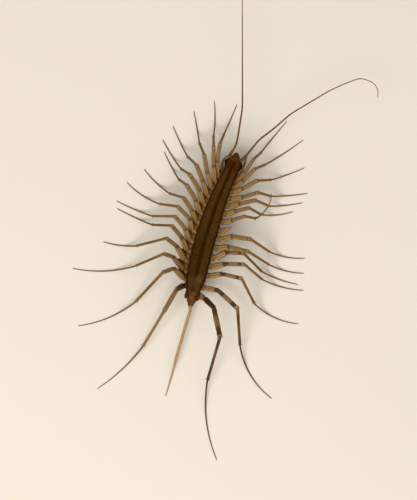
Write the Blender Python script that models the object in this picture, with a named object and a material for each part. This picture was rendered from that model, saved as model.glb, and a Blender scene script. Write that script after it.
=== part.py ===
"""House centipede at life size, standing still on its spread legs.

Lengths are in millimetres and angles in degrees, and finish_node() writes the metres.
The body lies along +Y with its head forward, its back is up and its feet are on z = 0.
A place on the body is (t, u, z): t runs forward along the bent axis from the middle of the
body, u is sideways with right positive, and z is the height above the floor. A heading of a
leg or an antenna is the direction seen from above in the picture, counterclockwise from its
right-hand side, where the middle of the body points BODY_IN_PICTURE.
"""
import math
from collections import namedtuple

import bmesh
import bpy
from mathutils import Vector

MM = 0.001
GAP = 0.3
BODY_IN_PICTURE = 72.5

# Middle of the model's box seen from above, measured from the middle of the body
BOX_MIDDLE = Vector((0.17, 2.086))
BOX_TOLERANCE = 0.02

# A route is rounded at this many times as many places as it keeps
FINE_PARTS = 4

# Body: one gentle bend to the right, highest in the middle
BEND_RADIUS = 120.0
BODY_HEIGHT = 4.4
BODY_DROOP = 0.7
DROOP_REACH = 12.0
# Half width over the plates (forward place, half width)
HALF_WIDTHS = (
    (-14.0, 0.9), (-12.8, 1.25), (-9.7, 1.62), (-6.0, 1.83), (-1.5, 1.9),
    (2.5, 1.75), (6.5, 1.55), (8.9, 1.4), (9.7, 1.28), (10.6, 1.06),
)
TRUNK_FRONT = 10.45
TRUNK_REAR = -13.25
PLATE_LENGTHS = (0.6, 1.0, 1.5, 2.1, 1.8, 1.6, 1.2, 0.8)

# Section of a trunk piece, from the body's centre height
PLATE_TOP = 1.1
RIM_TOP = 0.45
RIM_BOTTOM = -0.05
CORE_SHARE = 0.66
CORE_TOP = -0.1
CORE_LOW = -1.2
BELLY = -1.5
FAN_HEIGHT = 0.2
DOME_STEPS = (-1.0, -0.85, -0.6, -0.3, 0.0, 0.3, 0.6, 0.85, 1.0)
DOME_REACH = 0.98
RIM_UNDERCUT = 0.04
BELLY_SHARE = 0.7
# Each plate up to its rear rim: (share of the length, width factor, lift), then the rim itself
PLATE_RINGS = (
    (0.0, 0.86, -0.24), (0.12, 0.93, -0.12), (0.4, 0.985, 0.0), (0.75, 1.0, 0.04), (1.0, 1.0, 0.08),
)
RIM_LENGTH = 0.55
RIM_RING = (0.97, 0.1)
NOTCH_DEPTH = 0.3
NOTCH_HALF = 0.4
RIM_CURVE = 0.16

# Telson behind the last plate: (place behind its front, half width, top, bottom)
TELSON_FRONT = TRUNK_REAR - GAP
TELSON_RINGS = (
    (0.0, 0.62, 0.55, -0.75), (0.45, 0.66, 0.5, -0.7), (0.95, 0.52, 0.32, -0.55), (1.3, 0.3, 0.1, -0.35),
)

# Head, from its rear face: (place forward, half width, top, bottom)
HEAD_REAR = 10.82
HEAD_TURN = 2.0
HEAD_HEIGHT = 3.75
HEAD_RINGS = (
    (0.0, 0.95, 0.45, -0.55), (0.25, 1.24, 0.72, -0.8), (0.8, 1.46, 0.92, -0.95),
    (1.5, 1.55, 1.0, -1.0), (2.05, 1.48, 0.97, -1.0), (2.4, 1.34, 0.9, -0.95),
    (2.5, 0.66, 0.8, -0.92), (2.9, 0.6, 0.62, -0.88), (3.4, 0.52, 0.35, -0.8),
    (3.75, 0.36, 0.08, -0.62), (3.9, 0.18, -0.12, -0.42),
)
HEAD_SIDES = 20
HEAD_SQUARENESS = 0.82
EYE_PLACE = Vector((1.4, 1.3, 0.28))
EYE_SIZE = Vector((0.33, 0.5, 0.4))
EYE_GAP = 0.3
EYE_SEGMENTS = 14
EYE_RINGS = 9

# Antennae: root on the head's shoulder, then (heading, length) steps
ANTENNA_ROOT = Vector((2.8, 1.2, 0.12))
ANTENNA_RADIUS = 0.26
ANTENNA_TIP_RADIUS = 0.11
ANTENNA_TAPER = 0.7
ANTENNA_RISE = 2.4
# The arch of an antenna is down again before its tip, and steeper near the head
ARCH_LENGTH = 1.15
ARCH_POWER = 0.8
ANTENNA_STEPS = {
    "left": ((55, 1.6), (72, 1.1), (81, 6.0), (90, 22.6)),
    "right": ((47, 1.8), (52, 2.7), (36, 2.8), (41, 4.6), (31, 8.0), (25, 3.0), (21, 3.2), (341, 2.4),
              (309, 1.5), (266, 1.6)),
}
ANTENNA_SPACING = 0.85
ANTENNA_ROUNDING = 12

# Poison claws beside the head and the palps under it, both as (t or forward place, u, height)
CLAW_PATHS = {
    "left": ((10.2, 1.06, -0.92), (10.3, 1.4, -1.1), (11.3, 1.95, -1.3), (12.4, 2.02, -1.25),
             (13.1, 1.7, -1.15), (13.8, 1.25, -1.1)),
    "right": ((10.2, 1.06, -0.92), (10.3, 1.4, -1.1), (11.3, 1.85, -1.3), (13.0, 1.75, -1.25),
              (14.6, 1.45, -1.1), (15.4, 1.66, -1.0)),
}
CLAW_RADIUS = 0.28
CLAW_TIP_RADIUS = 0.1
CLAW_TAPER = 1.5
PALP_PATH = (
    (0.7, 0.42, -1.42), (1.1, 0.6, -1.68), (1.9, 0.68, -1.72), (2.6, 0.55, -1.62), (3.1, 0.34, -1.4),
)
PALP_RADIUS = 0.26
PALP_TIP_RADIUS = 0.13
MOUTH_SPACING = 0.45
MOUTH_ROUNDING = 6

# Legs
LEG_PAIRS = 15
FIRST_STATION = 9.3
LAST_STATION = -12.3
STATION_POWER = 1.2
ROOT_GAP = 0.34
ROOT_DROP = 0.82
TROCHANTER_DROP = 0.2
LEG_SIDES = 6
NECK_LENGTH = 0.3
# Rings stand this far before and after the joints from the trochanter to the ankle
BEFORE_JOINT = (0.25, 0.4, 0.45, 0.45)
AFTER_JOINT = (0.25, 0.3, 0.3, 0.3)
JOINT_SHARE = 0.4
COXA_RADIUS = 0.34
PREFEMUR_RADIUS = 0.44
FEMUR_RADIUS = 0.36
TIBIA_RADIUS = 0.28
TIBIA_END_RADIUS = 0.266
ANKLE_RADIUS = 0.25
TOE_RADIUS = 0.11
TARSUS_TAPER = 1.4
# A shed leg's stump: how far along the coxa and the prefemur its rings stand, and its blunt end
STUMP_COXA = 0.7
STUMP_PREFEMUR = (0.15, 0.85)
STUMP_END_RADIUS = 0.2
SLIM_PAIRS = 3
SLIM_FACTOR = 0.82
STOUT = {("left", 14): 1.15, ("left", 15): 0.85, ("right", 14): 1.15, ("right", 15): 1.25}
PREFEMUR_SLOPE = 0.85
PREFEMUR_RISE_REACH = 2.4
KNEE_RISE = 1.1
ANKLE_HEIGHT = 1.9
FRONT_ANKLE_HEIGHT = 2.7
FRONT_ANKLE_PAIRS = 7
ANKLE_FALL = 0.3
LANDING = 0.45
TARSUS_STEPS = 9
# Legs up to this pair lie so close that their knees only have a spur on top
CROWDED_PAIRS = 7
SPUR_OUT = 0.42
SPUR_FORWARD = 0.42
# Rings of a leg at the ends of its prefemur, femur and tibia, and side faces that carry spurs
ELBOW_RING = 5
KNEE_RING = 7
ANKLE_RING = 9
TOP_SIDE = (1,)
UPPER_SIDES = (0, 2)
LOWER_SIDES = (3, 5)
FIRST_REAR_PAIR = 13

# Pose of one leg: the trochanter stands out from the plate's edge and back from the coxa's root,
# then each segment has its heading and its length seen from above, the tarsus two headings.
Leg = namedtuple("Leg", "out back prefemur femur tibia tarsus")
LEGS = {
    "left": (
        Leg(0.6, 0.0, (91, 2.6), (80, 3.1), (68, 1.9), (66, 67, 5.9)),
        Leg(0.6, 0.2, (95, 2.7), (90, 3.4), (90, 2.0), (82, 95, 6.3)),
        Leg(0.76, 0.26, (105, 2.8), (100, 3.1), (111, 2.3), (99, 101, 5.9)),
        Leg(0.9, 0.47, (107, 2.7), (112, 2.9), (135, 2.3), (119, 112, 6.1)),
        Leg(1.0, 0.7, (106, 2.5), (122, 3.2), (146, 1.9), (127, 117, 6.2)),
        Leg(1.0, 0.84, (109, 2.2), (121, 3.1), (143, 1.8), (122, 114, 5.6)),
        Leg(1.1, 1.06, (110, 2.1), (124, 2.6), (162, 2.6), (147, 126, 6.4)),
        Leg(1.25, 1.17, (100, 2.0), (135, 3.1), (171, 3.3), (161, 132, 7.1)),
        Leg(1.15, 1.37, (108, 2.1), (130, 2.9), (179, 4.1), (162, 152, 7.0)),
        Leg(1.1, 1.44, (112, 2.3), (130, 2.8), (177, 3.6), (159, 151, 6.9)),
        Leg(1.06, 1.52, (120, 2.8), (143, 2.3), (194, 5.6), (184, 162, 6.0)),
        Leg(0.86, 1.55, (129, 3.0), (162, 1.7), (203, 5.5), (197, 168, 11.5)),
        Leg(0.5, 1.3, (134, 2.6), (200, 2.1), (227, 7.2), (219, 187, 11.4)),
        Leg(0.4, 0.6, (210, 1.5), (240, 4.4), (239, 7.5), (233, 213, 11.4)),
        Leg(0.2, 1.3, (300, 2.4), (253, 3.7), (254, 5.8), (256, 253, 6.5)),
    ),
    "right": (
        Leg(0.48, -0.2, (53, 2.3), (57, 2.7), (43, 1.9), (52, 49, 7.3)),
        Leg(0.38, -0.1, (39, 1.9), (46, 2.8), (24, 2.1), (29, 37, 8.2)),
        Leg(0.4, -0.3, (24, 1.8), (28, 2.9), (4, 2.5), (16, 24, 6.4)),
        Leg(0.4, -0.3, (10, 2.1), (17, 2.8), (345, 2.4), (0, 9, 6.6)),
        Leg(0.4, -0.3, (15, 2.0), (12, 2.8), (338, 2.7), (0, 12, 6.0)),
        Leg(0.4, -0.3, (20, 1.7), (13, 2.4), (332, 2.5), (353, 18, 5.8)),
        Leg(0.4, -0.3, (15, 1.4), (18, 2.3), (350, 2.1), (30, 84, 5.4)),
        Leg(0.4, 0.05, (24, 1.6), None, None, None),
        Leg(0.4, -0.3, (16, 2.1), (351, 3.5), (327, 4.1), (335, 364, 6.5)),
        Leg(0.4, -0.3, (8, 1.9), (346, 3.8), (328, 4.4), (333, 359, 6.5)),
        Leg(0.4, -0.1, (27, 2.4), (357, 3.1), (315, 4.6), (330, 350, 7.0)),
        Leg(0.4, -0.2, (13, 2.3), (359, 3.6), (320, 4.2), (332, 358, 7.8)),
        Leg(0.4, -0.2, (10, 2.3), (347, 3.7), (297, 5.1), (315, 355, 8.9)),
        Leg(0.5, -0.1, (348, 2.3), (317, 4.7), (274, 7.0), (278, 323, 11.5)),
        Leg(0.8, 0.3, (316, 2.4), (282, 5.4), (254, 8.1), (260, 293, 14.8)),
    ),
}
# A tarsus that passes over its neighbours instead of reaching the floor
HELD_UP = {("right", 7): 3.75}
HELD_UP_ANKLE = 0.4
# A knee that stands higher or lower than its neighbours, as a share of the usual rise
KNEE_SHARES = {("right", 2): 1.3, ("right", 11): 0.5, ("left", 15): 0.0}
# A leg that passes under the tail drops this much more at its root
LOW_ROOTS = {("left", 15): 1.0}

COLOURS = {
    "plate": (0.13, 0.055, 0.018),
    "head": (0.20, 0.062, 0.020),
    "eye": (0.02, 0.012, 0.01),
    "feeler": (0.30, 0.115, 0.035),
    "mouth": (0.46, 0.24, 0.085),
    "leg": (0.50, 0.29, 0.11),
    "rear_leg": (0.22, 0.10, 0.045),
}
ROUGHNESS = {
    "plate": 0.42,
    "head": 0.38,
    "eye": 0.2,
    "feeler": 0.5,
    "mouth": 0.45,
    "leg": 0.45,
    "rear_leg": 0.45,
}
SHARP_ANGLE = 40.0


def side_sign(side):
    return 1.0 if side == "right" else -1.0


def body_angle(t):
    """Direction of the body's axis at t, in radians counterclockwise from +X."""
    return math.pi / 2 - t / BEND_RADIUS


def body_height(t):
    return BODY_HEIGHT - BODY_DROOP * (t / DROOP_REACH) ** 2


def body_point(t, u, z):
    angle = body_angle(t)
    x = BEND_RADIUS * (1 - math.cos(t / BEND_RADIUS)) + u * math.sin(angle)
    y = BEND_RADIUS * math.sin(t / BEND_RADIUS) - u * math.cos(angle)
    return Vector((x, y, z))


def outward_at(t, side):
    return body_point(t, side_sign(side), 0.0) - body_point(t, 0.0, 0.0)


def head_point(forward, u, w):
    """A place on the head, from the middle of its rear face."""
    angle = body_angle(HEAD_REAR) + math.radians(HEAD_TURN)
    along = Vector((math.cos(angle), math.sin(angle), 0.0))
    across = Vector((math.sin(angle), -math.cos(angle), 0.0))
    return body_point(HEAD_REAR, 0.0, HEAD_HEIGHT + w) + along * forward + across * u


def picture_direction(heading):
    angle = math.radians(heading + 90.0 - BODY_IN_PICTURE)
    return Vector((math.cos(angle), math.sin(angle), 0.0))


def interpolate(pairs, x):
    """The value at x of straight lines through pairs sorted by their first number."""
    if x <= pairs[0][0]:
        return pairs[0][1]
    for (x0, y0), (x1, y1) in zip(pairs, pairs[1:]):
        if x <= x1:
            return y0 + (y1 - y0) * (x - x0) / (x1 - x0)
    return pairs[-1][1]


def half_width(t):
    return interpolate(HALF_WIDTHS, t)


def make_material(name, kind):
    material = bpy.data.materials.new(name)
    material.use_nodes = True
    shader = material.node_tree.nodes["Principled BSDF"]
    shader.inputs["Base Color"].default_value = (*COLOURS[kind], 1.0)
    shader.inputs["Roughness"].default_value = ROUGHNESS[kind]
    shader.inputs["Metallic"].default_value = 0.0
    return material


def finish_node(name, bm, kind):
    """Turn a closed mesh in millimetres into a named object in metres."""
    shift = Vector((BOX_MIDDLE.x, BOX_MIDDLE.y, 0.0))
    for vertex in bm.verts:
        vertex.co = (vertex.co - shift) * MM
    bmesh.ops.recalc_face_normals(bm, faces=bm.faces)
    mesh = bpy.data.meshes.new(name)
    bm.to_mesh(mesh)
    bm.free()
    mesh.shade_smooth()
    mesh.set_sharp_from_angle(angle=math.radians(SHARP_ANGLE))
    mesh.materials.append(make_material(name, kind))
    node = bpy.data.objects.new(name, mesh)
    bpy.context.scene.collection.objects.link(node)
    return node


def loft(rings, tips=(None, None)):
    """A closed skin over rings of equal length, with a fan of faces to each tip point if given."""
    bm = bmesh.new()
    rows = [[bm.verts.new(point) for point in ring] for ring in rings]
    count = len(rows[0])
    for near, far in zip(rows, rows[1:]):
        for i in range(count):
            j = (i + 1) % count
            bm.faces.new((near[i], near[j], far[j], far[i]))
    for row, tip in ((rows[0], tips[0]), (rows[-1], tips[1])):
        if tip is None:
            bm.faces.new(row)
            continue
        centre = bm.verts.new(tip)
        for i in range(count):
            bm.faces.new((row[i], row[(i + 1) % count], centre))
    bmesh.ops.recalc_face_normals(bm, faces=bm.faces)
    return bm


def tube(points, radii, flat_from=None, start=None):
    """A six-sided tube with a flat side down. From flat_from on, its rings stand upright."""
    rings = []
    for i, (point, radius) in enumerate(zip(points, radii)):
        before = points[max(i - 1, 0)]
        after = points[min(i + 1, len(points) - 1)]
        tangent = (after - point).normalized() if i == 0 else (point - before).normalized()
        if 0 < i < len(points) - 1:
            tangent = (tangent + (after - point).normalized()).normalized()
        if i == 0 and start is not None:
            tangent = start
        if flat_from is not None and i >= flat_from:
            tangent = Vector((tangent.x, tangent.y, 0.0)).normalized()
        across = tangent.cross(Vector((0.0, 0.0, 1.0))).normalized()
        upward = across.cross(tangent).normalized()
        ring = []
        for k in range(LEG_SIDES):
            angle = 2 * math.pi * k / LEG_SIDES
            ring.append(point + across * (radius * math.cos(angle)) + upward * (radius * math.sin(angle)))
        rings.append(ring)
    return loft(rings)


def raise_spurs(bm, joint_rings, points):
    """Draw side faces before each joint out into short spurs."""
    bm.faces.ensure_lookup_table()
    chosen = []
    for ring, sides in joint_rings:
        forward = (points[ring] - points[ring - 1]).normalized()
        chosen += [(bm.faces[(ring - 1) * LEG_SIDES + side], forward) for side in sides]
    for face, forward in chosen:
        tip = face.calc_center_median() + face.normal * SPUR_OUT + forward * SPUR_FORWARD
        poked = bmesh.ops.poke(bm, faces=[face])
        poked["verts"][0].co = tip


def build_trunk_piece(number, front, rear):
    """One plate with its overhanging rim, raised towards its notched rear, on its share of core."""
    reach = rear + RIM_LENGTH - front
    sections = [(front + reach * share, factor, lift) for share, factor, lift in PLATE_RINGS]
    sections.append((rear, *RIM_RING))
    rings = []
    for t, width_factor, lift in sections:
        wide = half_width(t) * width_factor
        core = half_width(t) * CORE_SHARE
        rear_curve = 1.0 if t == rear else 0.0
        centre = body_height(t)
        ring = []
        for step in DOME_STEPS:
            height = RIM_TOP + (PLATE_TOP - RIM_TOP) * math.sqrt(1 - step * step * DOME_REACH)
            notch = NOTCH_DEPTH * max(0.0, 1 - abs(step) / NOTCH_HALF)
            forward = rear_curve * (notch + RIM_CURVE * (1 - abs(step)))
            ring.append(body_point(t + forward, wide * step, centre + height + lift))
        low = (
            (wide - RIM_UNDERCUT, RIM_BOTTOM), (core, CORE_TOP),
            (core, CORE_LOW), (core * BELLY_SHARE, BELLY),
        )
        ring += [body_point(t, u, centre + w) for u, w in low]
        ring += [body_point(t, -u, centre + w) for u, w in reversed(low)]
        rings.append(ring)
    tips = [body_point(t, 0.0, body_height(t) + FAN_HEIGHT) for t in (front, rear)]
    return finish_node(f"trunk_{number}", loft(rings, tips), "plate")


def build_trunk():
    unit = (TRUNK_FRONT - TRUNK_REAR) / sum(PLATE_LENGTHS)
    front = TRUNK_FRONT
    for number, length in enumerate(PLATE_LENGTHS, start=1):
        rear = front - length * unit
        build_trunk_piece(number, front, rear + GAP)
        front = rear


def oval(half, top, bottom, place):
    """A rounded section: half width, height above and below its centre, set by place(u, w)."""
    ring = []
    for k in range(HEAD_SIDES):
        angle = 2 * math.pi * k / HEAD_SIDES
        cosine, sine = math.cos(angle), math.sin(angle)
        u = math.copysign(abs(cosine) ** HEAD_SQUARENESS, cosine) * half
        w = math.copysign(abs(sine) ** HEAD_SQUARENESS, sine) * (top if sine > 0 else -bottom)
        ring.append(place(u, w))
    return ring


def build_telson():
    rings = []
    for behind, half, top, bottom in TELSON_RINGS:
        t = TELSON_FRONT - behind
        high = body_height(t)
        rings.append(oval(half, top, bottom, lambda u, w, t=t, high=high: body_point(t, u, high + w)))
    return finish_node("telson", loft(rings), "plate")


def ellipsoid(centre, size):
    """A closed ellipsoid lying along the head, with its half width, half length and half height."""
    bm = bmesh.new()
    bmesh.ops.create_uvsphere(bm, u_segments=EYE_SEGMENTS, v_segments=EYE_RINGS, radius=1.0)
    angle = body_angle(HEAD_REAR) + math.radians(HEAD_TURN)
    along = Vector((math.cos(angle), math.sin(angle), 0.0))
    across = Vector((math.sin(angle), -math.cos(angle), 0.0))
    for vertex in bm.verts:
        x, y, z = vertex.co
        vertex.co = centre + across * (x * size.x) + along * (y * size.y)
        vertex.co.z += z * size.z
    return bm


def cut(node, cutter):
    """Take one object out of another and delete it."""
    modifier = node.modifiers.new("cut", "BOOLEAN")
    modifier.operation = "DIFFERENCE"
    modifier.solver = "EXACT"
    modifier.object = cutter
    depsgraph = bpy.context.evaluated_depsgraph_get()
    mesh = bpy.data.meshes.new_from_object(node.evaluated_get(depsgraph))
    node.modifiers.clear()
    node.data = mesh
    bpy.data.objects.remove(cutter)


def build_head():
    rings = []
    for forward, half, top, bottom in HEAD_RINGS:
        rings.append(oval(half, top, bottom, lambda u, w, forward=forward: head_point(forward, u, w)))
    head = finish_node("head", loft(rings), "head")
    for side in ("left", "right"):
        centre = head_point(EYE_PLACE.x, side_sign(side) * EYE_PLACE.y, EYE_PLACE.z)
        finish_node(f"eye_{side}", ellipsoid(centre, EYE_SIZE), "eye")
        socket = finish_node("socket", ellipsoid(centre, EYE_SIZE + Vector((EYE_GAP,) * 3)), "eye")
        cut(head, socket)
    return head


def rounded(corners, spacing, rounding):
    """The route through the corners with each of them rounded, as points about spacing apart."""
    fine = []
    for a, b in zip(corners, corners[1:]):
        parts = max(2, round((b - a).length / (spacing / FINE_PARTS)))
        fine += [a.lerp(b, k / parts) for k in range(parts)]
    fine.append(corners[-1])
    for _ in range(rounding):
        middle = [(fine[i - 1] + fine[i] * 2 + fine[i + 1]) / 4 for i in range(1, len(fine) - 1)]
        fine = [fine[0], *middle, fine[-1]]
    end = [fine[-1]] if (len(fine) - 1) % FINE_PARTS else []
    return fine[::FINE_PARTS] + end


def taper(start, end, power, count):
    """Radii from start to end over count rings."""
    return [start + (end - start) * (i / (count - 1)) ** power for i in range(count)]


def build_antenna(side):
    root = head_point(ANTENNA_ROOT.x, side_sign(side) * ANTENNA_ROOT.y, ANTENNA_ROOT.z)
    corners = [root]
    for heading, length in ANTENNA_STEPS[side]:
        corners.append(corners[-1] + picture_direction(heading) * length)
    points = rounded(corners, ANTENNA_SPACING, ANTENNA_ROUNDING)
    for i, point in enumerate(points):
        share = min(i / (len(points) - 1) * ARCH_LENGTH, 1.0)
        point.z += ANTENNA_RISE * math.sin(math.pi * share ** ARCH_POWER)
    radii = taper(ANTENNA_RADIUS, ANTENNA_TIP_RADIUS, ANTENNA_TAPER, len(points))
    angle = body_angle(HEAD_REAR) + math.radians(HEAD_TURN)
    start = Vector((math.cos(angle), math.sin(angle), 0.0))
    finish_node(f"antenna_{side}", tube(points, radii, start=start), "feeler")


def build_mouthparts(side):
    sign = side_sign(side)
    route = [body_point(t, sign * u, body_height(t) + w) for t, u, w in CLAW_PATHS[side]]
    points = rounded(route, MOUTH_SPACING, MOUTH_ROUNDING)
    radii = taper(CLAW_RADIUS, CLAW_TIP_RADIUS, CLAW_TAPER, len(points))
    outward = outward_at(CLAW_PATHS[side][0][0], side)
    finish_node(f"forcipule_{side}", tube(points, radii, start=outward), "mouth")
    route = [head_point(forward, sign * u, w) for forward, u, w in PALP_PATH]
    points = rounded(route, MOUTH_SPACING, MOUTH_ROUNDING)
    radii = taper(PALP_RADIUS, PALP_TIP_RADIUS, 1.0, len(points))
    finish_node(f"maxilla_{side}", tube(points, radii), "mouth")


def station(pair):
    """Place along the body of a pair of legs, closer together towards the head."""
    share = (pair - 1) / (LEG_PAIRS - 1)
    return FIRST_STATION + (LAST_STATION - FIRST_STATION) * share ** STATION_POWER


def leg_joints(side, pair):
    """Root, trochanter, prefemur end, knee and ankle of one leg."""
    leg = LEGS[side][pair - 1]
    sign = side_sign(side)
    t = station(pair)
    root_height = body_height(t) - ROOT_DROP
    root_t = t - leg.back if pair < LEG_PAIRS else t
    root = body_point(root_t, sign * (half_width(root_t) * CORE_SHARE + ROOT_GAP), root_height)
    drop = TROCHANTER_DROP + LOW_ROOTS.get((side, pair), 0.0)
    trochanter = body_point(t - leg.back, sign * (half_width(t) + leg.out), root_height - drop)
    joints = [root, trochanter]
    heading, reach = leg.prefemur
    rise = KNEE_SHARES.get((side, pair), 1.0)
    up = Vector((0.0, 0.0, PREFEMUR_SLOPE * min(reach, PREFEMUR_RISE_REACH) * rise))
    joints.append(trochanter + picture_direction(heading) * reach + up)
    if leg.femur is None:
        return joints
    heading, reach = leg.femur
    up = Vector((0.0, 0.0, KNEE_RISE * rise))
    joints.append(joints[-1] + picture_direction(heading) * reach + up)
    heading, reach = leg.tibia
    ankle = joints[-1] + picture_direction(heading) * reach
    frontness = max(0.0, 1 - (pair - 1) / FRONT_ANKLE_PAIRS)
    ankle.z = ANKLE_HEIGHT + (FRONT_ANKLE_HEIGHT - ANKLE_HEIGHT) * frontness
    ankle.z = min(ankle.z, joints[-1].z - ANKLE_FALL)
    if (side, pair) in HELD_UP:
        ankle.z = HELD_UP[side, pair] + HELD_UP_ANKLE
    joints.append(ankle)
    return joints


def tarsus_points(side, pair, ankle):
    """The curved tarsus from the ankle down to the floor, with the ring where it lies flat."""
    first, last, reach = LEGS[side][pair - 1].tarsus
    turn = (last - first + 180) % 360 - 180
    points = []
    flat_from = None
    place = ankle.copy()
    for k in range(1, TARSUS_STEPS + 1):
        share = k / TARSUS_STEPS
        heading = first + turn * (share - 0.5 / TARSUS_STEPS)
        place = place + picture_direction(heading) * (reach / TARSUS_STEPS)
        radius = tarsus_radius(share)
        floor = radius * math.cos(math.pi / LEG_SIDES)
        fall = max(0.0, 1 - share / LANDING) ** 2
        if (side, pair) in HELD_UP:
            floor = HELD_UP[side, pair]
        elif fall == 0.0 and flat_from is None:
            flat_from = k
        points.append(Vector((place.x, place.y, floor + (ankle.z - floor) * fall)))
    return points, flat_from


def tarsus_radius(share):
    return ANKLE_RADIUS + (TOE_RADIUS - ANKLE_RADIUS) * share ** TARSUS_TAPER


def ring_places(joints):
    """Ring centres a little before and after each of the inner joints."""
    places = []
    for i, (before, after) in enumerate(zip(BEFORE_JOINT, AFTER_JOINT), start=1):
        back = joints[i - 1] - joints[i]
        ahead = joints[i + 1] - joints[i]
        places.append(joints[i] + back.normalized() * min(before, back.length * JOINT_SHARE))
        places.append(joints[i] + ahead.normalized() * min(after, ahead.length * JOINT_SHARE))
    return places


def build_leg(side, pair):
    joints = leg_joints(side, pair)
    outward = outward_at(station(pair), side)
    slim = STOUT.get((side, pair), SLIM_FACTOR if pair <= SLIM_PAIRS else 1.0)
    root = joints[0]
    neck = root + outward * min(NECK_LENGTH, (joints[1] - root).length * JOINT_SHARE)
    name = f"leg_{side}_{pair:02d}"
    if len(joints) == 3:
        trochanter, end = joints[1], joints[2]
        points = [root, neck, neck.lerp(trochanter, STUMP_COXA)]
        points += [trochanter.lerp(end, share) for share in STUMP_PREFEMUR]
        points.append(end)
        radii = [COXA_RADIUS] * 3 + [PREFEMUR_RADIUS] * 2 + [STUMP_END_RADIUS]
        return finish_node(name, tube(points, radii, start=outward), "leg")
    trochanter, elbow, knee, ankle = joints[1:]
    toe, flat_from = tarsus_points(side, pair, ankle)
    points = [root, neck, *ring_places([neck, trochanter, elbow, knee, ankle, toe[0]])]
    radii = [COXA_RADIUS * slim] * 3 + [PREFEMUR_RADIUS * slim] * 2 + [FEMUR_RADIUS * slim] * 2
    radii += [TIBIA_RADIUS, TIBIA_END_RADIUS, ANKLE_RADIUS]
    first_toe = len(points)
    points += toe
    radii += [tarsus_radius((k + 1) / TARSUS_STEPS) for k in range(TARSUS_STEPS)]
    if flat_from is not None:
        flat_from += first_toe - 1
    bm = tube(points, radii, flat_from, outward)
    knee_sides = UPPER_SIDES if pair > CROWDED_PAIRS else TOP_SIDE
    spurs = ((ELBOW_RING, TOP_SIDE), (KNEE_RING, knee_sides), (ANKLE_RING, LOWER_SIDES))
    raise_spurs(bm, spurs, points)
    return finish_node(name, bm, "leg" if pair < FIRST_REAR_PAIR else "rear_leg")


def check_box():
    """Stop if the model isn't centred on its origin and standing on the floor."""
    places = [vertex.co for node in bpy.data.objects for vertex in node.data.vertices]
    low = [min(place[axis] for place in places) / MM for axis in range(3)]
    high = [max(place[axis] for place in places) / MM for axis in range(3)]
    print("box in mm", [round(value, 3) for value in low], [round(value, 3) for value in high])
    for axis in (0, 1):
        middle = (low[axis] + high[axis]) / 2
        if abs(middle) > BOX_TOLERANCE:
            raise ValueError(f"BOX_MIDDLE is off by {middle:.3f} mm on axis {axis}")


def main():
    for old in list(bpy.data.objects):
        bpy.data.objects.remove(old)
    build_trunk()
    build_telson()
    build_head()
    for side in ("left", "right"):
        build_antenna(side)
        build_mouthparts(side)
        for pair in range(1, LEG_PAIRS + 1):
            build_leg(side, pair)
    check_box()


main()
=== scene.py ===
"""Looks of a house centipede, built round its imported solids.

The body's line, the places of the legs and their poses repeat the ones that the solids are
built from. Every vertex carries four numbers that its material reads: along and around place it
on its segment, part names the segment and dark says how dark it is.
"""

import math
import random
from collections import namedtuple
from functools import partialmethod

import bpy
import numpy as np
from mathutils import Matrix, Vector


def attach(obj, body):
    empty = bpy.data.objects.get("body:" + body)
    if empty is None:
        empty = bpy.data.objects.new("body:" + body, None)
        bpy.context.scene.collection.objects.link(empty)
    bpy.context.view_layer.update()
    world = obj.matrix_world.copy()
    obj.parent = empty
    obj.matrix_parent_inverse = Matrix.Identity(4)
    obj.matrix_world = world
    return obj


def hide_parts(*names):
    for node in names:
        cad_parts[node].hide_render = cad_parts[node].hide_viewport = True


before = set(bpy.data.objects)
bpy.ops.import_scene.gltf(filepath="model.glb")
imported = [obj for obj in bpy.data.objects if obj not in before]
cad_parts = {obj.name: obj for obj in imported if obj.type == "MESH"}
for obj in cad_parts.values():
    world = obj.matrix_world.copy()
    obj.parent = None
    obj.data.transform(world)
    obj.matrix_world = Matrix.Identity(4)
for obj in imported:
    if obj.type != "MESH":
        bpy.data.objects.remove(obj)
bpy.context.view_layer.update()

MM = 0.001
UP = np.array((0.0, 0.0, 1.0))
SIDES = ("left", "right")
VALUES = ("along", "around", "part", "dark")

# Body line and plates, as in the solids
BODY_IN_PICTURE = 72.5
BOX_MIDDLE = np.array((0.17, 2.086, 0.0))
BEND_RADIUS = 120.0
BODY_HEIGHT = 4.4
BODY_DROOP = 0.7
DROOP_REACH = 12.0
HALF_WIDTHS = (
    (-14.0, 0.9), (-12.8, 1.25), (-9.7, 1.62), (-6.0, 1.83), (-1.5, 1.9),
    (2.5, 1.75), (6.5, 1.55), (8.9, 1.4), (9.7, 1.38), (10.6, 1.34),
)
TRUNK_FRONT = 10.45
TRUNK_REAR = -13.25
PLATE_LENGTHS = (0.6, 1.0, 1.5, 2.1, 1.8, 1.6, 1.2, 0.8)

# How the plates sit on the body line, from the tail to the neck: place, share of the half
# width and shift to the right
PLATE_FIT = (
    (-13.2, 0.95, -0.08), (-12.2, 0.95, -0.08), (-11.4, 0.94, -0.08), (-10.2, 1.02, -0.1),
    (-8.2, 1.03, -0.15),
    (-5.5, 0.99, -0.22), (-2.5, 0.955, -0.27), (0.5, 0.955, -0.27), (3.5, 0.95, -0.28),
    (6.5, 0.93, -0.24), (9.0, 0.94, -0.14), (10.6, 0.97, -0.03),
)

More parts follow.
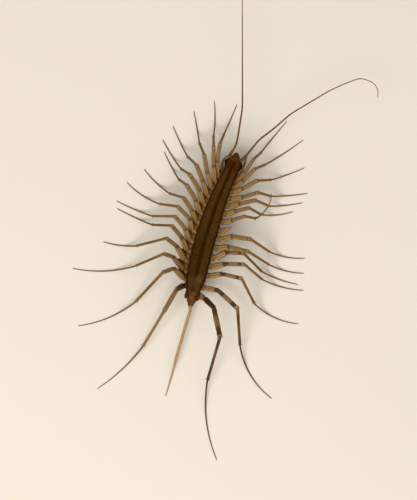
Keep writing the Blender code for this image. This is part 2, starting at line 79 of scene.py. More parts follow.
# Head and antennae, as in the solids
HEAD_REAR = 10.82
HEAD_TURN = 2.0
HEAD_HEIGHT = 3.75
EYE_PLACE = (1.4, 1.3, 0.28)
EYE_SIZE = (0.33, 0.5, 0.4)
ANTENNA_ROOT = (2.8, 1.2, 0.12)
ANTENNA_RISE = 2.4
ARCH_LENGTH = 1.15
ARCH_POWER = 0.8
ANTENNA_STEPS = {
    "left": ((55, 1.6), (72, 1.1), (81, 6.0), (90, 22.6)),
    "right": ((47, 1.8), (52, 2.7), (36, 2.8), (41, 4.6), (31, 8.0), (25, 3.0), (21, 3.2), (341, 2.4),
              (309, 1.5), (266, 1.6)),
}
CLAW_PATHS = {
    "left": ((10.2, 1.06, -0.92), (10.3, 1.4, -1.1), (11.3, 1.95, -1.3), (12.4, 2.02, -1.25),
             (13.1, 1.7, -1.15), (13.8, 1.25, -1.1)),
    "right": ((10.2, 1.06, -0.92), (10.3, 1.4, -1.1), (11.3, 1.85, -1.3), (13.0, 1.75, -1.25),
              (14.6, 1.45, -1.1), (15.4, 1.66, -1.0)),
}
PALP_PATH = (
    (0.7, 0.42, -1.42), (1.1, 0.6, -1.68), (1.9, 0.68, -1.72), (2.6, 0.55, -1.62), (3.1, 0.34, -1.4),
)

# Legs, as in the solids
LEG_PAIRS = 15
FIRST_STATION = 9.3
LAST_STATION = -12.3
STATION_POWER = 1.2
ROOT_DROP = 0.82
TROCHANTER_DROP = 0.2
PREFEMUR_SLOPE = 0.85
PREFEMUR_RISE_REACH = 2.4
KNEE_RISE = 1.1
ANKLE_HEIGHT = 1.9
FRONT_ANKLE_HEIGHT = 2.7
FRONT_ANKLE_PAIRS = 7
ANKLE_FALL = 0.3
LANDING = 0.45
COXA_LEAN = 0.15

# The trochanter stands out from the plate's edge and back from the coxa's root, then each
# segment has its heading in the picture and its length, the tarsus two headings.
Leg = namedtuple("Leg", "out back prefemur femur tibia tarsus")
LEGS = {
    "left": (
        Leg(0.6, 0.0, (91, 2.6), (80, 3.1), (68, 1.9), (66, 67, 5.9)),
        Leg(0.6, 0.2, (95, 2.7), (90, 3.4), (90, 2.0), (82, 95, 6.3)),
        Leg(0.76, 0.26, (105, 2.8), (100, 3.1), (111, 2.3), (99, 101, 5.9)),
        Leg(0.9, 0.47, (107, 2.7), (112, 2.9), (135, 2.3), (119, 112, 6.1)),
        Leg(1.0, 0.7, (106, 2.5), (122, 3.2), (146, 1.9), (127, 117, 6.2)),
        Leg(1.0, 0.84, (109, 2.2), (121, 3.1), (143, 1.8), (122, 114, 5.6)),
        Leg(1.1, 1.06, (110, 2.1), (124, 2.6), (162, 2.6), (147, 126, 6.4)),
        Leg(1.25, 1.17, (100, 2.0), (135, 3.1), (171, 3.3), (161, 132, 7.1)),
        Leg(1.15, 1.37, (108, 2.1), (130, 2.9), (179, 4.1), (162, 152, 7.0)),
        Leg(1.1, 1.44, (112, 2.3), (130, 2.8), (177, 3.6), (159, 151, 6.9)),
        Leg(1.06, 1.52, (120, 2.8), (143, 2.3), (194, 5.6), (184, 162, 6.0)),
        Leg(0.86, 1.55, (129, 3.0), (162, 1.7), (203, 5.5), (197, 168, 11.5)),
        Leg(0.5, 1.3, (134, 2.6), (200, 2.1), (227, 7.2), (219, 187, 11.4)),
        Leg(0.4, 0.6, (210, 1.5), (240, 4.4), (239, 7.5), (233, 213, 11.4)),
        Leg(0.2, 1.3, (300, 2.4), (253, 3.7), (254, 5.8), (256, 253, 6.5)),
    ),
    "right": (
        Leg(0.48, -0.2, (53, 2.3), (57, 2.7), (43, 1.9), (52, 49, 7.3)),
        Leg(0.38, -0.1, (39, 1.9), (46, 2.8), (24, 2.1), (29, 37, 8.2)),
        Leg(0.4, -0.3, (24, 1.8), (28, 2.9), (4, 2.5), (16, 24, 6.4)),
        Leg(0.4, -0.3, (10, 2.1), (17, 2.8), (345, 2.4), (0, 9, 6.6)),
        Leg(0.4, -0.3, (15, 2.0), (12, 2.8), (338, 2.7), (0, 12, 6.0)),
        Leg(0.4, -0.3, (20, 1.7), (13, 2.4), (332, 2.5), (353, 18, 5.8)),
        Leg(0.4, -0.3, (15, 1.4), (18, 2.3), (350, 2.1), (30, 84, 5.4)),
        Leg(0.4, -0.15, (24, 1.7), None, None, None),
        Leg(0.62, -0.3, (16, 2.1), (351, 3.3), (327, 4.1), (335, 364, 6.5)),
        Leg(0.62, -0.3, (8, 1.9), (346, 3.6), (328, 4.4), (333, 359, 6.5)),
        Leg(0.55, -0.1, (27, 2.35), (357, 3.0), (315, 4.6), (330, 350, 7.0)),
        Leg(0.55, -0.2, (13, 2.3), (359, 3.45), (320, 4.2), (332, 358, 7.8)),
        Leg(0.55, -0.2, (10, 2.3), (347, 3.55), (297, 5.1), (315, 355, 8.9)),
        Leg(0.5, 0.25, (348, 2.3), (317, 4.7), (274, 6.65), (278, 323, 11.5)),
        Leg(0.8, 0.3, (316, 2.4), (282, 5.4), (254, 8.1), (260, 293, 14.8)),
    ),
}
HELD_UP = {("right", 7): 3.75}
HELD_UP_ANKLE = 0.4
KNEE_SHARES = {("right", 2): 1.3, ("right", 11): 0.5, ("left", 15): 0.0}
LOW_ROOTS = {("left", 15): 1.0}

# Parts of a leg, as its material knows them
COXA, FOLD, PREFEMUR, FEMUR, TIBIA, TARSUS, SPUR, MEMBRANE, HIGHLIGHT_KNOB = range(9)

# How stout the two upper segments of a leg are, and how dark its segments are along them
PREFEMUR_RADII = {
    "left": (0.42, 0.42, 0.43, 0.46, 0.47, 0.48, 0.48, 0.49, 0.5, 0.5, 0.5, 0.48, 0.48, 0.5, 0.3),
    "right": (0.38, 0.4, 0.44, 0.49, 0.5, 0.5, 0.49, 0.46, 0.56, 0.55, 0.53, 0.52, 0.5, 0.47, 0.5),
}
FEMUR_RADII = {
    "left": (0.36, 0.36, 0.39, 0.4, 0.4, 0.4, 0.39, 0.38, 0.38, 0.37, 0.37, 0.37, 0.37, 0.42, 0.29),
    "right": (0.32, 0.34, 0.38, 0.38, 0.37, 0.36, 0.33, 0.0, 0.41, 0.4, 0.38, 0.37, 0.37, 0.42, 0.47),
}
SHORT_BANDS = {
    COXA: ((0, 0.25), (1, 0.1)),
    PREFEMUR: ((0, 0.2), (0.07, 0.0), (0.88, 0.0), (0.95, 0.6), (1, 0.5)),
    FEMUR: ((0, 0.5), (0.1, 0.2), (0.22, 0.0), (0.76, 0.05), (0.85, 0.5), (0.91, 0.1), (1, 0.0)),
    TIBIA: ((0, 0.1), (0.1, 0.3), (0.9, 0.35), (1, 0.1)),
    TARSUS: ((0, 0.25), (1, 0.15)),
}
HIND_BANDS = {
    COXA: ((0, 0.2), (1, 0.1)),
    PREFEMUR: ((0, 0.1), (0.86, 0.0), (0.94, 0.8), (1, 0.6)),
    FEMUR: ((0, 0.7), (0.14, 0.75), (0.28, 0.1), (0.62, 0.08), (0.76, 0.75), (0.86, 0.7), (0.9, 0.0),
            (1, 0.0)),
    TIBIA: ((0, 0.1), (0.1, 0.35), (0.5, 0.25), (0.9, 0.45), (1, 0.1)),
    TARSUS: ((0, 0.3), (1, 0.2)),
}
# Left hind legs darker all over: painted shade on that side of the animal
LEFT_SHADE_BANDS = {
    COXA: ((0, 0.5), (1, 0.35)),
    PREFEMUR: ((0, 0.35), (0.4, 0.3), (0.88, 0.3), (0.95, 0.7), (1, 0.6)),
    FEMUR: ((0, 0.65), (0.3, 0.3), (0.76, 0.35), (0.85, 0.7), (0.92, 0.2), (1, 0.1)),
    TIBIA: ((0, 0.3), (0.5, 0.5), (1, 0.3)),
    TARSUS: ((0, 0.35), (1, 0.3)),
}
BANDS = {("right", pair): HIND_BANDS for pair in (11, 12, 13)}
BANDS |= {("left", pair): LEFT_SHADE_BANDS for pair in (10, 11, 12, 13)}
# The twelfth left leg darker still: more painted shade
BANDS["left", 12] = LEFT_SHADE_BANDS | {
    COXA: ((0, 0.5), (1, 0.4)),
    PREFEMUR: ((0, 0.45), (0.4, 0.42), (0.88, 0.4), (0.95, 0.7), (1, 0.6)),
}
BANDS["right", 14] = {
    COXA: ((0, 0.2), (1, 0.1)),
    PREFEMUR: ((0, 0.1), (0.7, 0.05), (0.82, 0.8), (1, 0.75)),
    FEMUR: ((0, 0.6), (0.24, 0.8), (0.34, 0.15), (0.62, 0.1), (0.72, 0.85), (0.86, 0.9), (0.9, 0.0),
            (1, 0.0)),
    TIBIA: ((0, 0.3), (0.2, 0.75), (0.6, 0.55), (0.92, 0.8), (1, 0.5)),
    TARSUS: ((0, 0.8), (0.5, 0.6), (1, 0.5)),
}
BANDS["right", 15] = {
    COXA: ((0, 0.1), (1, 0.0)),
    PREFEMUR: ((0, 0.2), (0.18, 0.85), (1, 0.95)),
    FEMUR: ((0, 0.9), (0.2, 0.8), (0.4, 0.3), (0.6, 0.25), (0.74, 0.95), (0.9, 1.0), (0.95, 0.4), (1, 0.4)),
    TIBIA: ((0, 0.6), (0.12, 0.95), (0.35, 0.5), (0.6, 0.75), (1, 0.85)),
    TARSUS: ((0, 0.8), (0.5, 0.65), (1, 0.6)),
}
BANDS["left", 14] = {
    COXA: ((0, 0.8), (1, 0.8)),
    PREFEMUR: ((0, 0.85), (1, 0.85)),
    FEMUR: ((0, 0.6), (0.25, 0.1), (0.75, 0.05), (0.92, 0.2), (1, 0.3)),
    TIBIA: ((0, 0.2), (0.5, 0.1), (1, 0.25)),
    TARSUS: ((0, 0.4), (1, 0.3)),
}
BANDS["left", 15] = dict.fromkeys(SHORT_BANDS, ((0, -1.0), (1, -1.0)))

# Camera and picture
PICTURE_SIZE = (417, 500)
PIXEL = 0.18
BODY_MIDDLE_PIXEL = (210.2, 228.0)
CAMERA_LENS = 300.0
CAMERA_SENSOR = 36.0
FOCUS_HEIGHT = 3.0
LAMP_COLOUR = (1.0, 0.95, 0.86)


def side_sign(side):
    return 1.0 if side == "right" else -1.0


def turns(sides):
    """Angles spread evenly round a ring, from its top."""
    return 2 * math.pi * np.arange(sides) / sides


def round_the_ring(sides):
    """Shares to the right and upwards of the places of a ring."""
    angles = turns(sides)
    return np.sin(angles), np.cos(angles)


def eased(count):
    """Shares from nought to one that lie closer together at both ends."""
    even = np.linspace(0, 1, count)
    return (0.5 - 0.5 * np.cos(math.pi * even) + even) / 2


def soft(values, power):
    """The values with their sizes raised to a power and their signs kept."""
    return np.copysign(np.abs(values) ** power, values)


def body_height(t):
    return BODY_HEIGHT - BODY_DROOP * (t / DROOP_REACH) ** 2


def half_width(t):
    return float(np.interp(t, *zip(*HALF_WIDTHS)))


def plate_fit(t):
    """Half width of the plates at t, and their shift to the right."""
    places, shares, shifts = zip(*PLATE_FIT)
    return half_width(t) * float(np.interp(t, places, shares)), float(np.interp(t, places, shifts))


def body_point(t, u, z):
    """The point at t along the bent body, u to its right and z above the floor."""
    turn = np.asarray(t) / BEND_RADIUS
    x = BEND_RADIUS * (1 - np.cos(turn)) + u * np.cos(turn)
    y = BEND_RADIUS * np.sin(turn) - u * np.sin(turn)
    return np.stack(np.broadcast_arrays(x, y, z), axis=-1)


def outward_at(t, side):
    return body_point(t, side_sign(side), 0.0) - body_point(t, 0.0, 0.0)


def forward_at(t):
    return np.array((math.sin(t / BEND_RADIUS), math.cos(t / BEND_RADIUS), 0.0))


def head_axes():
    angle = math.pi / 2 - HEAD_REAR / BEND_RADIUS + math.radians(HEAD_TURN)
    along = np.array((math.cos(angle), math.sin(angle), 0.0))
    return along, np.array((along[1], -along[0], 0.0))


def head_point(forward, u, w):
    along, across = head_axes()
    return body_point(HEAD_REAR, 0.0, HEAD_HEIGHT + w) + along * forward + np.multiply.outer(u, across)


def picture_direction(heading):
    angle = math.radians(heading + 90.0 - BODY_IN_PICTURE)
    return np.array((math.cos(angle), math.sin(angle), 0.0))


def unit(vector):
    return vector / np.linalg.norm(vector)


def station(pair):
    share = (pair - 1) / (LEG_PAIRS - 1)
    return FIRST_STATION + (LAST_STATION - FIRST_STATION) * share ** STATION_POWER


def station_phase(t):
    """Which pair of legs stands at t, as a number that grows towards the rear."""
    places = [station(pair) for pair in range(LEG_PAIRS, 0, -1)]
    return float(np.interp(t, places, range(LEG_PAIRS, 0, -1)))


def smooth(places, values, x):
    """Values at x of a soft curve through the given ones, with level ends."""
    places, values = np.asarray(places, float), np.asarray(values, float)
    slopes = np.gradient(values, places)
    i = np.clip(np.searchsorted(places, x, side="right") - 1, 0, len(places) - 2)
    width = places[i + 1] - places[i]
    s = np.clip((x - places[i]) / width, 0.0, 1.0)
    h00, h10 = 2 * s ** 3 - 3 * s ** 2 + 1, s ** 3 - 2 * s ** 2 + s
    h01, h11 = 3 * s ** 2 - 2 * s ** 3, s ** 3 - s ** 2
    return (h00 * values[i] + h10 * width * slopes[i]
            + h01 * values[i + 1] + h11 * width * slopes[i + 1])


def eased_out(points, times=1):
    """Let each point but the ends give way to its neighbours."""
    for _ in range(times):
        points[1:-1] = (points[:-2] + 2 * points[1:-1] + points[2:]) / 4
    return points


def rounded(corners, spacing, rounding):
    """The route through the corners with each of them rounded, as points about spacing apart."""
    fine = []
    for a, b in zip(corners, corners[1:]):
        parts = max(2, round(float(np.linalg.norm(b - a)) / spacing))
        fine += [a + (b - a) * k / parts for k in range(parts)]
    return eased_out(np.array([*fine, corners[-1]]), rounding)


def leg_joints(side, pair):
    """Root, trochanter, prefemur end, knee and ankle of one leg."""
    leg = LEGS[side][pair - 1]
    sign = side_sign(side)
    t = station(pair)
    height = body_height(t) - ROOT_DROP
    drop = TROCHANTER_DROP + LOW_ROOTS.get((side, pair), 0.0)
    root_t = t - leg.back if pair < LEG_PAIRS else t
    root = body_point(root_t - COXA_LEAN, sign * half_width(root_t) * 0.55, height)
    trochanter = body_point(t - leg.back, sign * (half_width(t) + leg.out), height - drop)
    rise = KNEE_SHARES.get((side, pair), 1.0)
    heading, reach = leg.prefemur
    up = PREFEMUR_SLOPE * min(reach, PREFEMUR_RISE_REACH) * rise
    joints = [root, trochanter, trochanter + picture_direction(heading) * reach + UP * up]
    if leg.femur is None:
        return joints
    heading, reach = leg.femur
    joints.append(joints[-1] + picture_direction(heading) * reach + UP * KNEE_RISE * rise)
    heading, reach = leg.tibia
    ankle = joints[-1] + picture_direction(heading) * reach
    frontness = max(0.0, 1 - (pair - 1) / FRONT_ANKLE_PAIRS)
    ankle[2] = ANKLE_HEIGHT + (FRONT_ANKLE_HEIGHT - ANKLE_HEIGHT) * frontness
    ankle[2] = min(ankle[2], joints[-1][2] - ANKLE_FALL)
    if (side, pair) in HELD_UP:
        ankle[2] = HELD_UP[side, pair] + HELD_UP_ANKLE
    joints.append(ankle)
    if (side, pair) == ("left", LEG_PAIRS):
        joints[0] = body_point(-12.4, -0.3, height)
        joints[1] = body_point(-13.1, -0.35, trochanter[2])
    return joints


class Sketch:
    """One mesh in the making: its points, triangles, bake patches and values."""

    def __init__(self):
        self.points, self.values, self.faces, self.corners, self.patches = ([] for _ in range(5))
        self.count = 0

    def tube(self, rings, along=None, around=0.0, part=0.0, dark=0.0):
        """A closed skin over rings of points (n, m, 3), capped at both ends.

        A value is one number, one for each ring, one for each place of a ring, or a full grid.
        """
        n, m = rings.shape[:2]
        values = np.linspace(0, 1, n) if along is None else along, around, part, dark
        values = (value[:, None] if np.shape(value) == (n,) else value for value in values)
        values = np.stack([np.broadcast_to(value, (n, m)) for value in values], axis=2)
        for store, grid in ((self.points, rings), (self.values, values)):
            store.append(np.vstack([grid.reshape(n * m, -1), grid[0].mean(0), grid[-1].mean(0)]))

        i, j = (axis.ravel() for axis in np.mgrid[:n - 1, :m])
        row, first, last = np.arange(m), np.zeros(m), np.full(m, n - 1)
        triangles = (
            ((i, j), (i, j + 1), (i + 1, j + 1)),
            ((i, j), (i + 1, j + 1), (i + 1, j)),
            ((first, row + 1), (first, row), (first, row + 0.5)),
            ((last, row), (last, row + 1), (last, row + 0.5)),
        )
        # Ring and place of the three corners of each. A half place is the middle point of a cap
        ring, place = np.hstack([np.transpose(triangle, (1, 2, 0)) for triangle in triangles])
        faces = np.where(place % 1, n * m + (ring > 0), ring * m + place % m).astype(int)
        corners = np.stack([place / m, ring / (n - 1)], 2)

        joined = self.points[-1]
        p, q, r = (joined[faces[:, x]] - joined[0] for x in range(3))
        if np.einsum("ij,ij->i", p, np.cross(q, r)).sum() < 0:
            faces, corners = faces[:, ::-1], corners[:, ::-1]
        length = np.linalg.norm(np.diff(rings.mean(1), axis=0), axis=1).sum()
        girth = np.linalg.norm(np.diff(rings[n // 2], axis=0), axis=1).sum()
        self.patches.append((max(girth, 0.02), max(length, 0.02)))
        self.faces.append(faces + self.count)
        self.corners.append(corners)
        self.count += len(joined)

    def finish(self, name, look, slot, replaces=()):
        """Make the object in metres, riding on the body and standing for its CAD nodes."""
        points = (np.vstack(self.points) - BOX_MIDDLE) * MM
        values = np.vstack(self.values)
        faces = np.vstack(self.faces)
        places, scale = packed(self.patches)
        corners = [
            place + patch * np.array(size) * scale
            for patch, size, place in zip(self.corners, self.patches, places)
        ]
        mesh = bpy.data.meshes.new(name)
        mesh.vertices.add(len(points))
        mesh.vertices.foreach_set("co", points.astype(np.float32).ravel())
        mesh.loops.add(faces.size)
        mesh.loops.foreach_set("vertex_index", faces.astype(np.int32).ravel())
        mesh.polygons.add(len(faces))
        mesh.polygons.foreach_set("loop_start", np.arange(0, faces.size, 3, dtype=np.int32))
        for column, attribute in enumerate(VALUES):
            layer = mesh.attributes.new(attribute, "FLOAT", "POINT")
            layer.data.foreach_set("value", values[:, column].astype(np.float32))
        bake_map = mesh.uv_layers.new(name="OFBake")
        bake_map.data.foreach_set("uv", np.vstack(corners).astype(np.float32).ravel())
        mesh.update(calc_edges=True)
        mesh.validate()
        mesh.shade_smooth()
        mesh.materials.append(LOOKS[look])
        piece = bpy.data.objects.new(name, mesh)
        bpy.context.scene.collection.objects.link(piece)
        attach(piece, "root")
        if replaces:
            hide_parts(*replaces)
        return piece


def packed(sizes, margin=0.004):
    """Places in the unit square of rectangles laid in rows, and the scale that lets them fit."""
    order = sorted(range(len(sizes)), key=lambda i: -sizes[i][1])
    margin = min(margin, 0.25 / math.sqrt(len(sizes)))
    scale = 1 / math.sqrt(sum(w * h for w, h in sizes))
    while True:
        places = [None] * len(sizes)
        x = y = row = 0.0
        for i in order:
            w, h = sizes[i][0] * scale + margin, sizes[i][1] * scale + margin
            if x + w > 1:
                x, y, row = 0.0, y + row, 0.0
            places[i] = np.array((x, y))
            x += w
            row = max(row, h)
        widest = max(size[0] for size in sizes) * scale + margin
        if y + row <= 1 and widest <= 1:
            return places, scale
        scale *= 0.94


def sweep(points, radii, sides=None, flatness=1.0):
    """Rings round a route, from their tops. radii is (n, m), or (n) with a number of sides."""
    if sides:
        radii = np.repeat(radii[:, None], sides, axis=1)
    points = np.asarray(points, float)
    tangents = np.gradient(points, axis=0)
    tangents /= np.linalg.norm(tangents, axis=1)[:, None]
    across = np.cross(tangents, UP)
    across /= np.linalg.norm(across, axis=1)[:, None]
    top = np.cross(across, tangents)
    angles = turns(radii.shape[1])
    upward = top[:, None] * (np.cos(angles) * flatness)[None, :, None]
    sideways = across[:, None] * np.sin(angles)[None, :, None]
    return points[:, None] + radii[:, :, None] * (upward + sideways)


def ball(sketch, centre, size, part=0.0, dark=0.0, sides=16, levels=10, axes=None):
    """A closed ellipsoid. size is its half width, half length and half height."""
    along, across = axes if axes else (np.array((0.0, 1.0, 0.0)), np.array((1.0, 0.0, 0.0)))
    tilt = math.pi * (np.linspace(0.02, 0.98, levels) - 0.5)
    sines, cosines = round_the_ring(sides)
    rings = centre + np.sin(tilt)[:, None, None] * size[1] * along
    rings = rings + np.outer(np.cos(tilt), sines)[..., None] * size[0] * across
    rings = rings + np.outer(np.cos(tilt), cosines)[..., None] * size[2] * UP
    sketch.tube(rings, part=part, dark=dark, around=cosines)


def spike(sketch, root, direction, length, radius, part=SPUR, dark=0.0, sides=5, curve=0.0):
    """A thin tapered spine that bends a little downwards."""
    levels = 4 if length > 0.3 else 3
    share = np.linspace(0, 1, levels)
    points = root + np.outer(share * length, direction) - np.outer(share ** 2 * curve, UP)
    sketch.tube(sweep(points, radius * (1 - share * 0.92), sides), part=part, dark=dark)


# Leg segments: shares of the length and of the radius
BARREL_PROFILE = (
    (0.0, 0.5), (0.02, 0.78), (0.08, 0.95), (0.25, 1.0), (0.55, 0.95), (0.85, 0.86), (0.94, 0.84),
    (0.98, 0.72), (1.0, 0.5),
)
FEMUR_PROFILE = (
    (0.0, 0.55), (0.02, 0.82), (0.07, 0.96), (0.16, 0.9), (0.4, 1.0), (0.7, 0.94), (0.85, 0.88),
    (0.92, 1.06), (0.965, 1.06), (0.99, 0.85), (1.0, 0.6),
)
STUMP_PROFILE = (
    (0.0, 0.55), (0.04, 0.85), (0.15, 1.0), (0.4, 0.95), (0.7, 0.66), (0.9, 0.34), (1.0, 0.12),
)
TIBIA_PROFILE = (
    (0.0, 0.7), (0.02, 1.0), (0.06, 1.14), (0.14, 1.0), (0.7, 0.9), (0.92, 0.92), (0.97, 1.12),
    (0.99, 1.02), (1.0, 0.7),
)
SMOOTH_PROFILE = ((0.0, 0.9), (0.1, 1.0), (0.9, 0.98), (1.0, 0.9))
RIDGES = (-180, -105, -36, 36, 105, 180)
RIDGE_SPREAD = 24


def ridge_value(sides):
    """How near each place of a ring is to the crest of a ridge, with a groove on the very top."""
    degrees = np.degrees(np.angle(np.exp(1j * turns(sides))))
    away = np.min([np.abs(degrees - ridge) for ridge in RIDGES], axis=0)
    return np.exp(-(away / RIDGE_SPREAD) ** 2)


def segment(sketch, start, end, radius, profile, part, dark, bow=0.0, keel=0.13, teeth=11, sides=36,
            rings=52):
    """One ridged leg segment, narrower at its joints. Returns the rings that were made."""
    share = eased(rings)
    base = eased_out(radius * np.interp(share, *zip(*profile)))
    crest = ridge_value(sides)
    middle = np.clip(np.minimum(share, 1 - share) / 0.1, 0.0, 1.0)
    serration = 1 + 0.16 * np.sin(2 * math.pi * teeth * share)
    radii = base[:, None] * (0.95 + keel * crest * (middle * serration)[:, None])
    points = start + np.outer(share, end - start) + np.outer(4 * bow * share * (1 - share), UP)
    made = sweep(points, radii)
    sketch.tube(made, around=crest, along=share, part=part, dark=np.interp(share, *zip(*dark)))
    return made


def bristle_rows(bristles, rings, angles_share, count, length, radius, rng, forward=0.8, dark=0.0):
    """Short bristles along lines of a swept segment, leaning towards its tip."""
    n, m = rings.shape[:2]
    centres = rings.mean(1)
    for around in angles_share:
        for k in range(count):
            i = int((k + 0.3 + 0.5 * rng.random()) / count * (n - 2)) + 1
            j = int(around * m + rng.choice((-1, 0, 0, 1))) % m
            root = rings[i, j]
            out = unit(root - centres[i])
            ahead = unit(centres[min(i + 1, n - 1)] - centres[i - 1])
            direction = unit(out + ahead * forward * (0.8 + 0.4 * rng.random()))
            size = length * (0.7 + 0.6 * rng.random())
            spike(bristles, root - out * 0.02, direction, size, radius, dark=dark, sides=3)


def tarsus_route(side, pair, ankle):
    """The curved tarsus from the ankle down to the floor, and its radii."""
    first, last, reach = LEGS[side][pair - 1].tarsus
    turn = (last - first + 180) % 360 - 180
    steps = max(120, round(reach * 26))
    share = np.linspace(0, 1, steps + 1)
    headings = first + turn * share
    directions = np.array([picture_direction(heading) for heading in headings])
    points = ankle + np.vstack([[0, 0, 0], np.cumsum(directions[:-1], axis=0)]) * (reach / steps)
    radii = 0.175 - 0.11 * share ** 0.8
    fall = np.clip(1 - share / LANDING, 0.0, 1.0) ** 2
    floor = HELD_UP.get((side, pair), radii)
    points[:, 2] = floor + (ankle[2] - floor) * fall
    return points, radii, share


def build_coxa(sketch, side, pair, root, trochanter, radius, dark):
    """The flattened hip, broad at the body, with a knob at its outer corner painted pale as a highlight."""
    share = np.linspace(0, 1, 24)
    left_row = side == "left" and pair < 14
    broad, ahead = (0.5, 0.0) if left_row else (0.7, 0.16)
    forward = forward_at(station(pair))
    points = root + np.outer(share, trochanter - root) + np.outer(ahead * (1 - share), forward)
    reach = broad + (radius * 0.98 - broad) * share ** 1.3
    reach[0] *= 0.7
    reach[-2:] *= (0.93, 0.75)
    crest = ridge_value(32)
    made = sweep(points, reach[:, None] * (1 + 0.04 * crest), flatness=0.78)
    sketch.tube(made, around=crest, part=COXA, dark=np.interp(share, *zip(*dark)))
    outward = outward_at(station(pair), side)
    if left_row:
        build_fold(sketch, pair, trochanter[2])
        corner = outward * radius * 0.74 - forward * radius * 0.4
    elif pair < 9:
        corner = forward * radius * 0.3 + UP * radius * 0.45
    else:
        corner = -forward * radius * 0.5 + outward * radius * 0.7
    # A small knob at the hip's corner, painted pale: a painted highlight
    ball(sketch, trochanter + corner + UP * radius * 0.35, (0.16, 0.16, 0.14), part=HIGHLIGHT_KNOB)


def build_fold(sketch, pair, height):
    """The fold between the body and a left leg. It slips under the hip in front like a shingle."""
    leg = LEGS["left"][pair - 1]
    hip = station(pair) - leg.back
    out = half_width(hip) + leg.out
    slope = math.tan(math.radians(leg.prefemur[0] - BODY_IN_PICTURE))
    barrel = leg_joints("left", pair)[2] - leg_joints("left", pair)[1]
    climb = barrel[2] / float(barrel @ forward_at(hip))
    front = station(pair - 1) - LEGS["left"][pair - 2].back - 0.05 if pair > 1 else hip + 1.2
    rear = hip - 0.4
    sines, cosines = round_the_ring(28)
    outside = np.maximum(sines, 0.0)
    shares = eased(36)
    rings = []
    for share in shares:
        t = rear + (front - rear) * share
        ahead = t - hip - 0.1
        wide, shift = plate_fit(t)
        inner = wide - shift - 0.35
        outer = float(np.interp(t, (rear, hip + 0.1), (out - 0.55, out + 0.3)))
        if ahead > 0:
            outer = out + 0.1 + 0.2 * max(0.0, 1 - ahead / 0.5) + ahead * slope
        thick = 0.3 * min(1.0, share / 0.05 + 0.25, (1 - share) / 0.1 + 0.2) ** 0.7
        u = (inner + outer) / 2 + (outer - inner) / 2 * soft(sines, 0.8)
        z = height + 0.02 + thick * soft(cosines, 0.8) * (0.7 - 0.3 * sines)
        z += 0.85 * climb * max(0.0, t - hip) * outside
        z -= 0.45 * share ** 1.2 * (1 - outside)
        z -= (body_height(t) - 0.5 - height) * 0.4 * np.minimum(sines, 0.0)
        rings.append(body_point(t, -u, z))
    sketch.tube(np.array(rings), along=shares, around=sines, part=FOLD)


def build_joints(sketch, joints, slim, shades):
    for joint, radius, shade in zip(joints, (0.32, 0.27, 0.2), shades):
        ball(sketch, joint, (radius * slim,) * 3, part=MEMBRANE, dark=shade)


def build_spurs(sketch, joints, slim, length):
    """Dark spines round the far ends of the prefemur, femur and tibia."""
    for i, reach, shares in ((2, 0.38, (0.3, 0.7)), (3, 0.38, (0.12, 0.88, 0.36, 0.64)),
                             (4, 0.22, (0.3, 0.7, 0.5))):
        line = unit(joints[i] - joints[i - 1])
        across = unit(np.cross(line, UP))
        top = np.cross(across, line)
        for share in shares:
            angle = 2 * math.pi * share
            out = top * math.cos(angle) + across * math.sin(angle)
            base = joints[i] - line * 0.2 + out * (reach * slim - 0.08)
            spike(sketch, base, unit(out * 0.8 + line * 0.8), length * (1.2 if i == 4 else 0.85), 0.05,
                  curve=0.05)


def build_leg(side, pair, bristles, rng):
    joints = leg_joints(side, pair)
    bands = BANDS.get((side, pair), SHORT_BANDS)
    stout, middling = PREFEMUR_RADII[side][pair - 1], FEMUR_RADII[side][pair - 1]
    plain = (side, pair) == ("left", 15)
    sketch = Sketch()
    root, trochanter, elbow = joints[:3]
    build_coxa(sketch, side, pair, root, trochanter, stout, bands[COXA])
    name = f"leg_{side}_{pair:02d}"
    if len(joints) == 3:
        made = segment(sketch, trochanter, elbow, stout, STUMP_PROFILE, PREFEMUR, bands[PREFEMUR], teeth=5)
        bristle_rows(bristles, made, (1 / 12, 11 / 12), 6, 0.16, 0.012, rng)
        return sketch.finish(name + "_skin", "leg", "leg", [name])

    knee, ankle = joints[3:]
    rows = (1 / 10, 3 / 10, 5 / 10, 7 / 10, 9 / 10)
    tibia_radius = 0.25 if pair < 13 else 0.275
    pieces = (
        (trochanter, elbow, stout, BARREL_PROFILE, PREFEMUR, 0.06, 0.13, 11),
        (elbow, knee, middling, FEMUR_PROFILE, FEMUR, 0.1, 0.13, 14),
        (knee, ankle, tibia_radius, TIBIA_PROFILE, TIBIA, 0.0, 0.1, 18),
    )
    for start, end, radius, profile, part, bow, keel, teeth in pieces:
        if plain:
            profile, keel, bow = SMOOTH_PROFILE, 0.05, 0.0
        made = segment(sketch, start, end, radius, profile, part, bands[part], bow, keel, teeth)
        bristle_rows(bristles, made, rows, teeth, 0.14, 0.012, rng)
    shades = [float(np.interp(0, *zip(*bands[part]))) for part in (FEMUR, TIBIA, TARSUS)]
    build_joints(sketch, joints[2:], middling / 0.38, shades)
    if not plain:
        build_spurs(sketch, joints, middling / 0.38, 0.75 if pair >= 13 else (0.4 if pair <= 3 else 0.48))

    points, radii, share = tarsus_route(side, pair, ankle)
    if plain:
        points[:, 2] += radii * 0.25
        radii = radii * 1.25
    rings_on = round(len(share) / 3.2)
    ripple = np.sin(2 * math.pi * rings_on * share)
    radii *= 1 + 0.07 * ripple
    radii[0] *= 0.8
    radii[-1] *= 0.4
    made = sweep(points, radii, 12)
    shades = np.interp(share, *zip(*bands[TARSUS]))
    sketch.tube(made, along=share, around=0.5 + 0.5 * ripple, part=TARSUS, dark=shades)
    bristle_rows(bristles, made, (0.29, 0.71), 30, 0.12, 0.008, rng, forward=1.4)
    tip = unit(points[-1] - points[-4])
    spike(sketch, points[-1] - tip * 0.05, tip, 0.22, 0.04, curve=0.03)
    return sketch.finish(name + "_skin", "leg", "leg" if pair < 13 else "rear_leg", [name])


# Bristles on a millimetre of a plate, on the head and on an antenna
PLATE_BRISTLES = 26
HEAD_BRISTLES = 60
ANTENNA_BRISTLES = 620

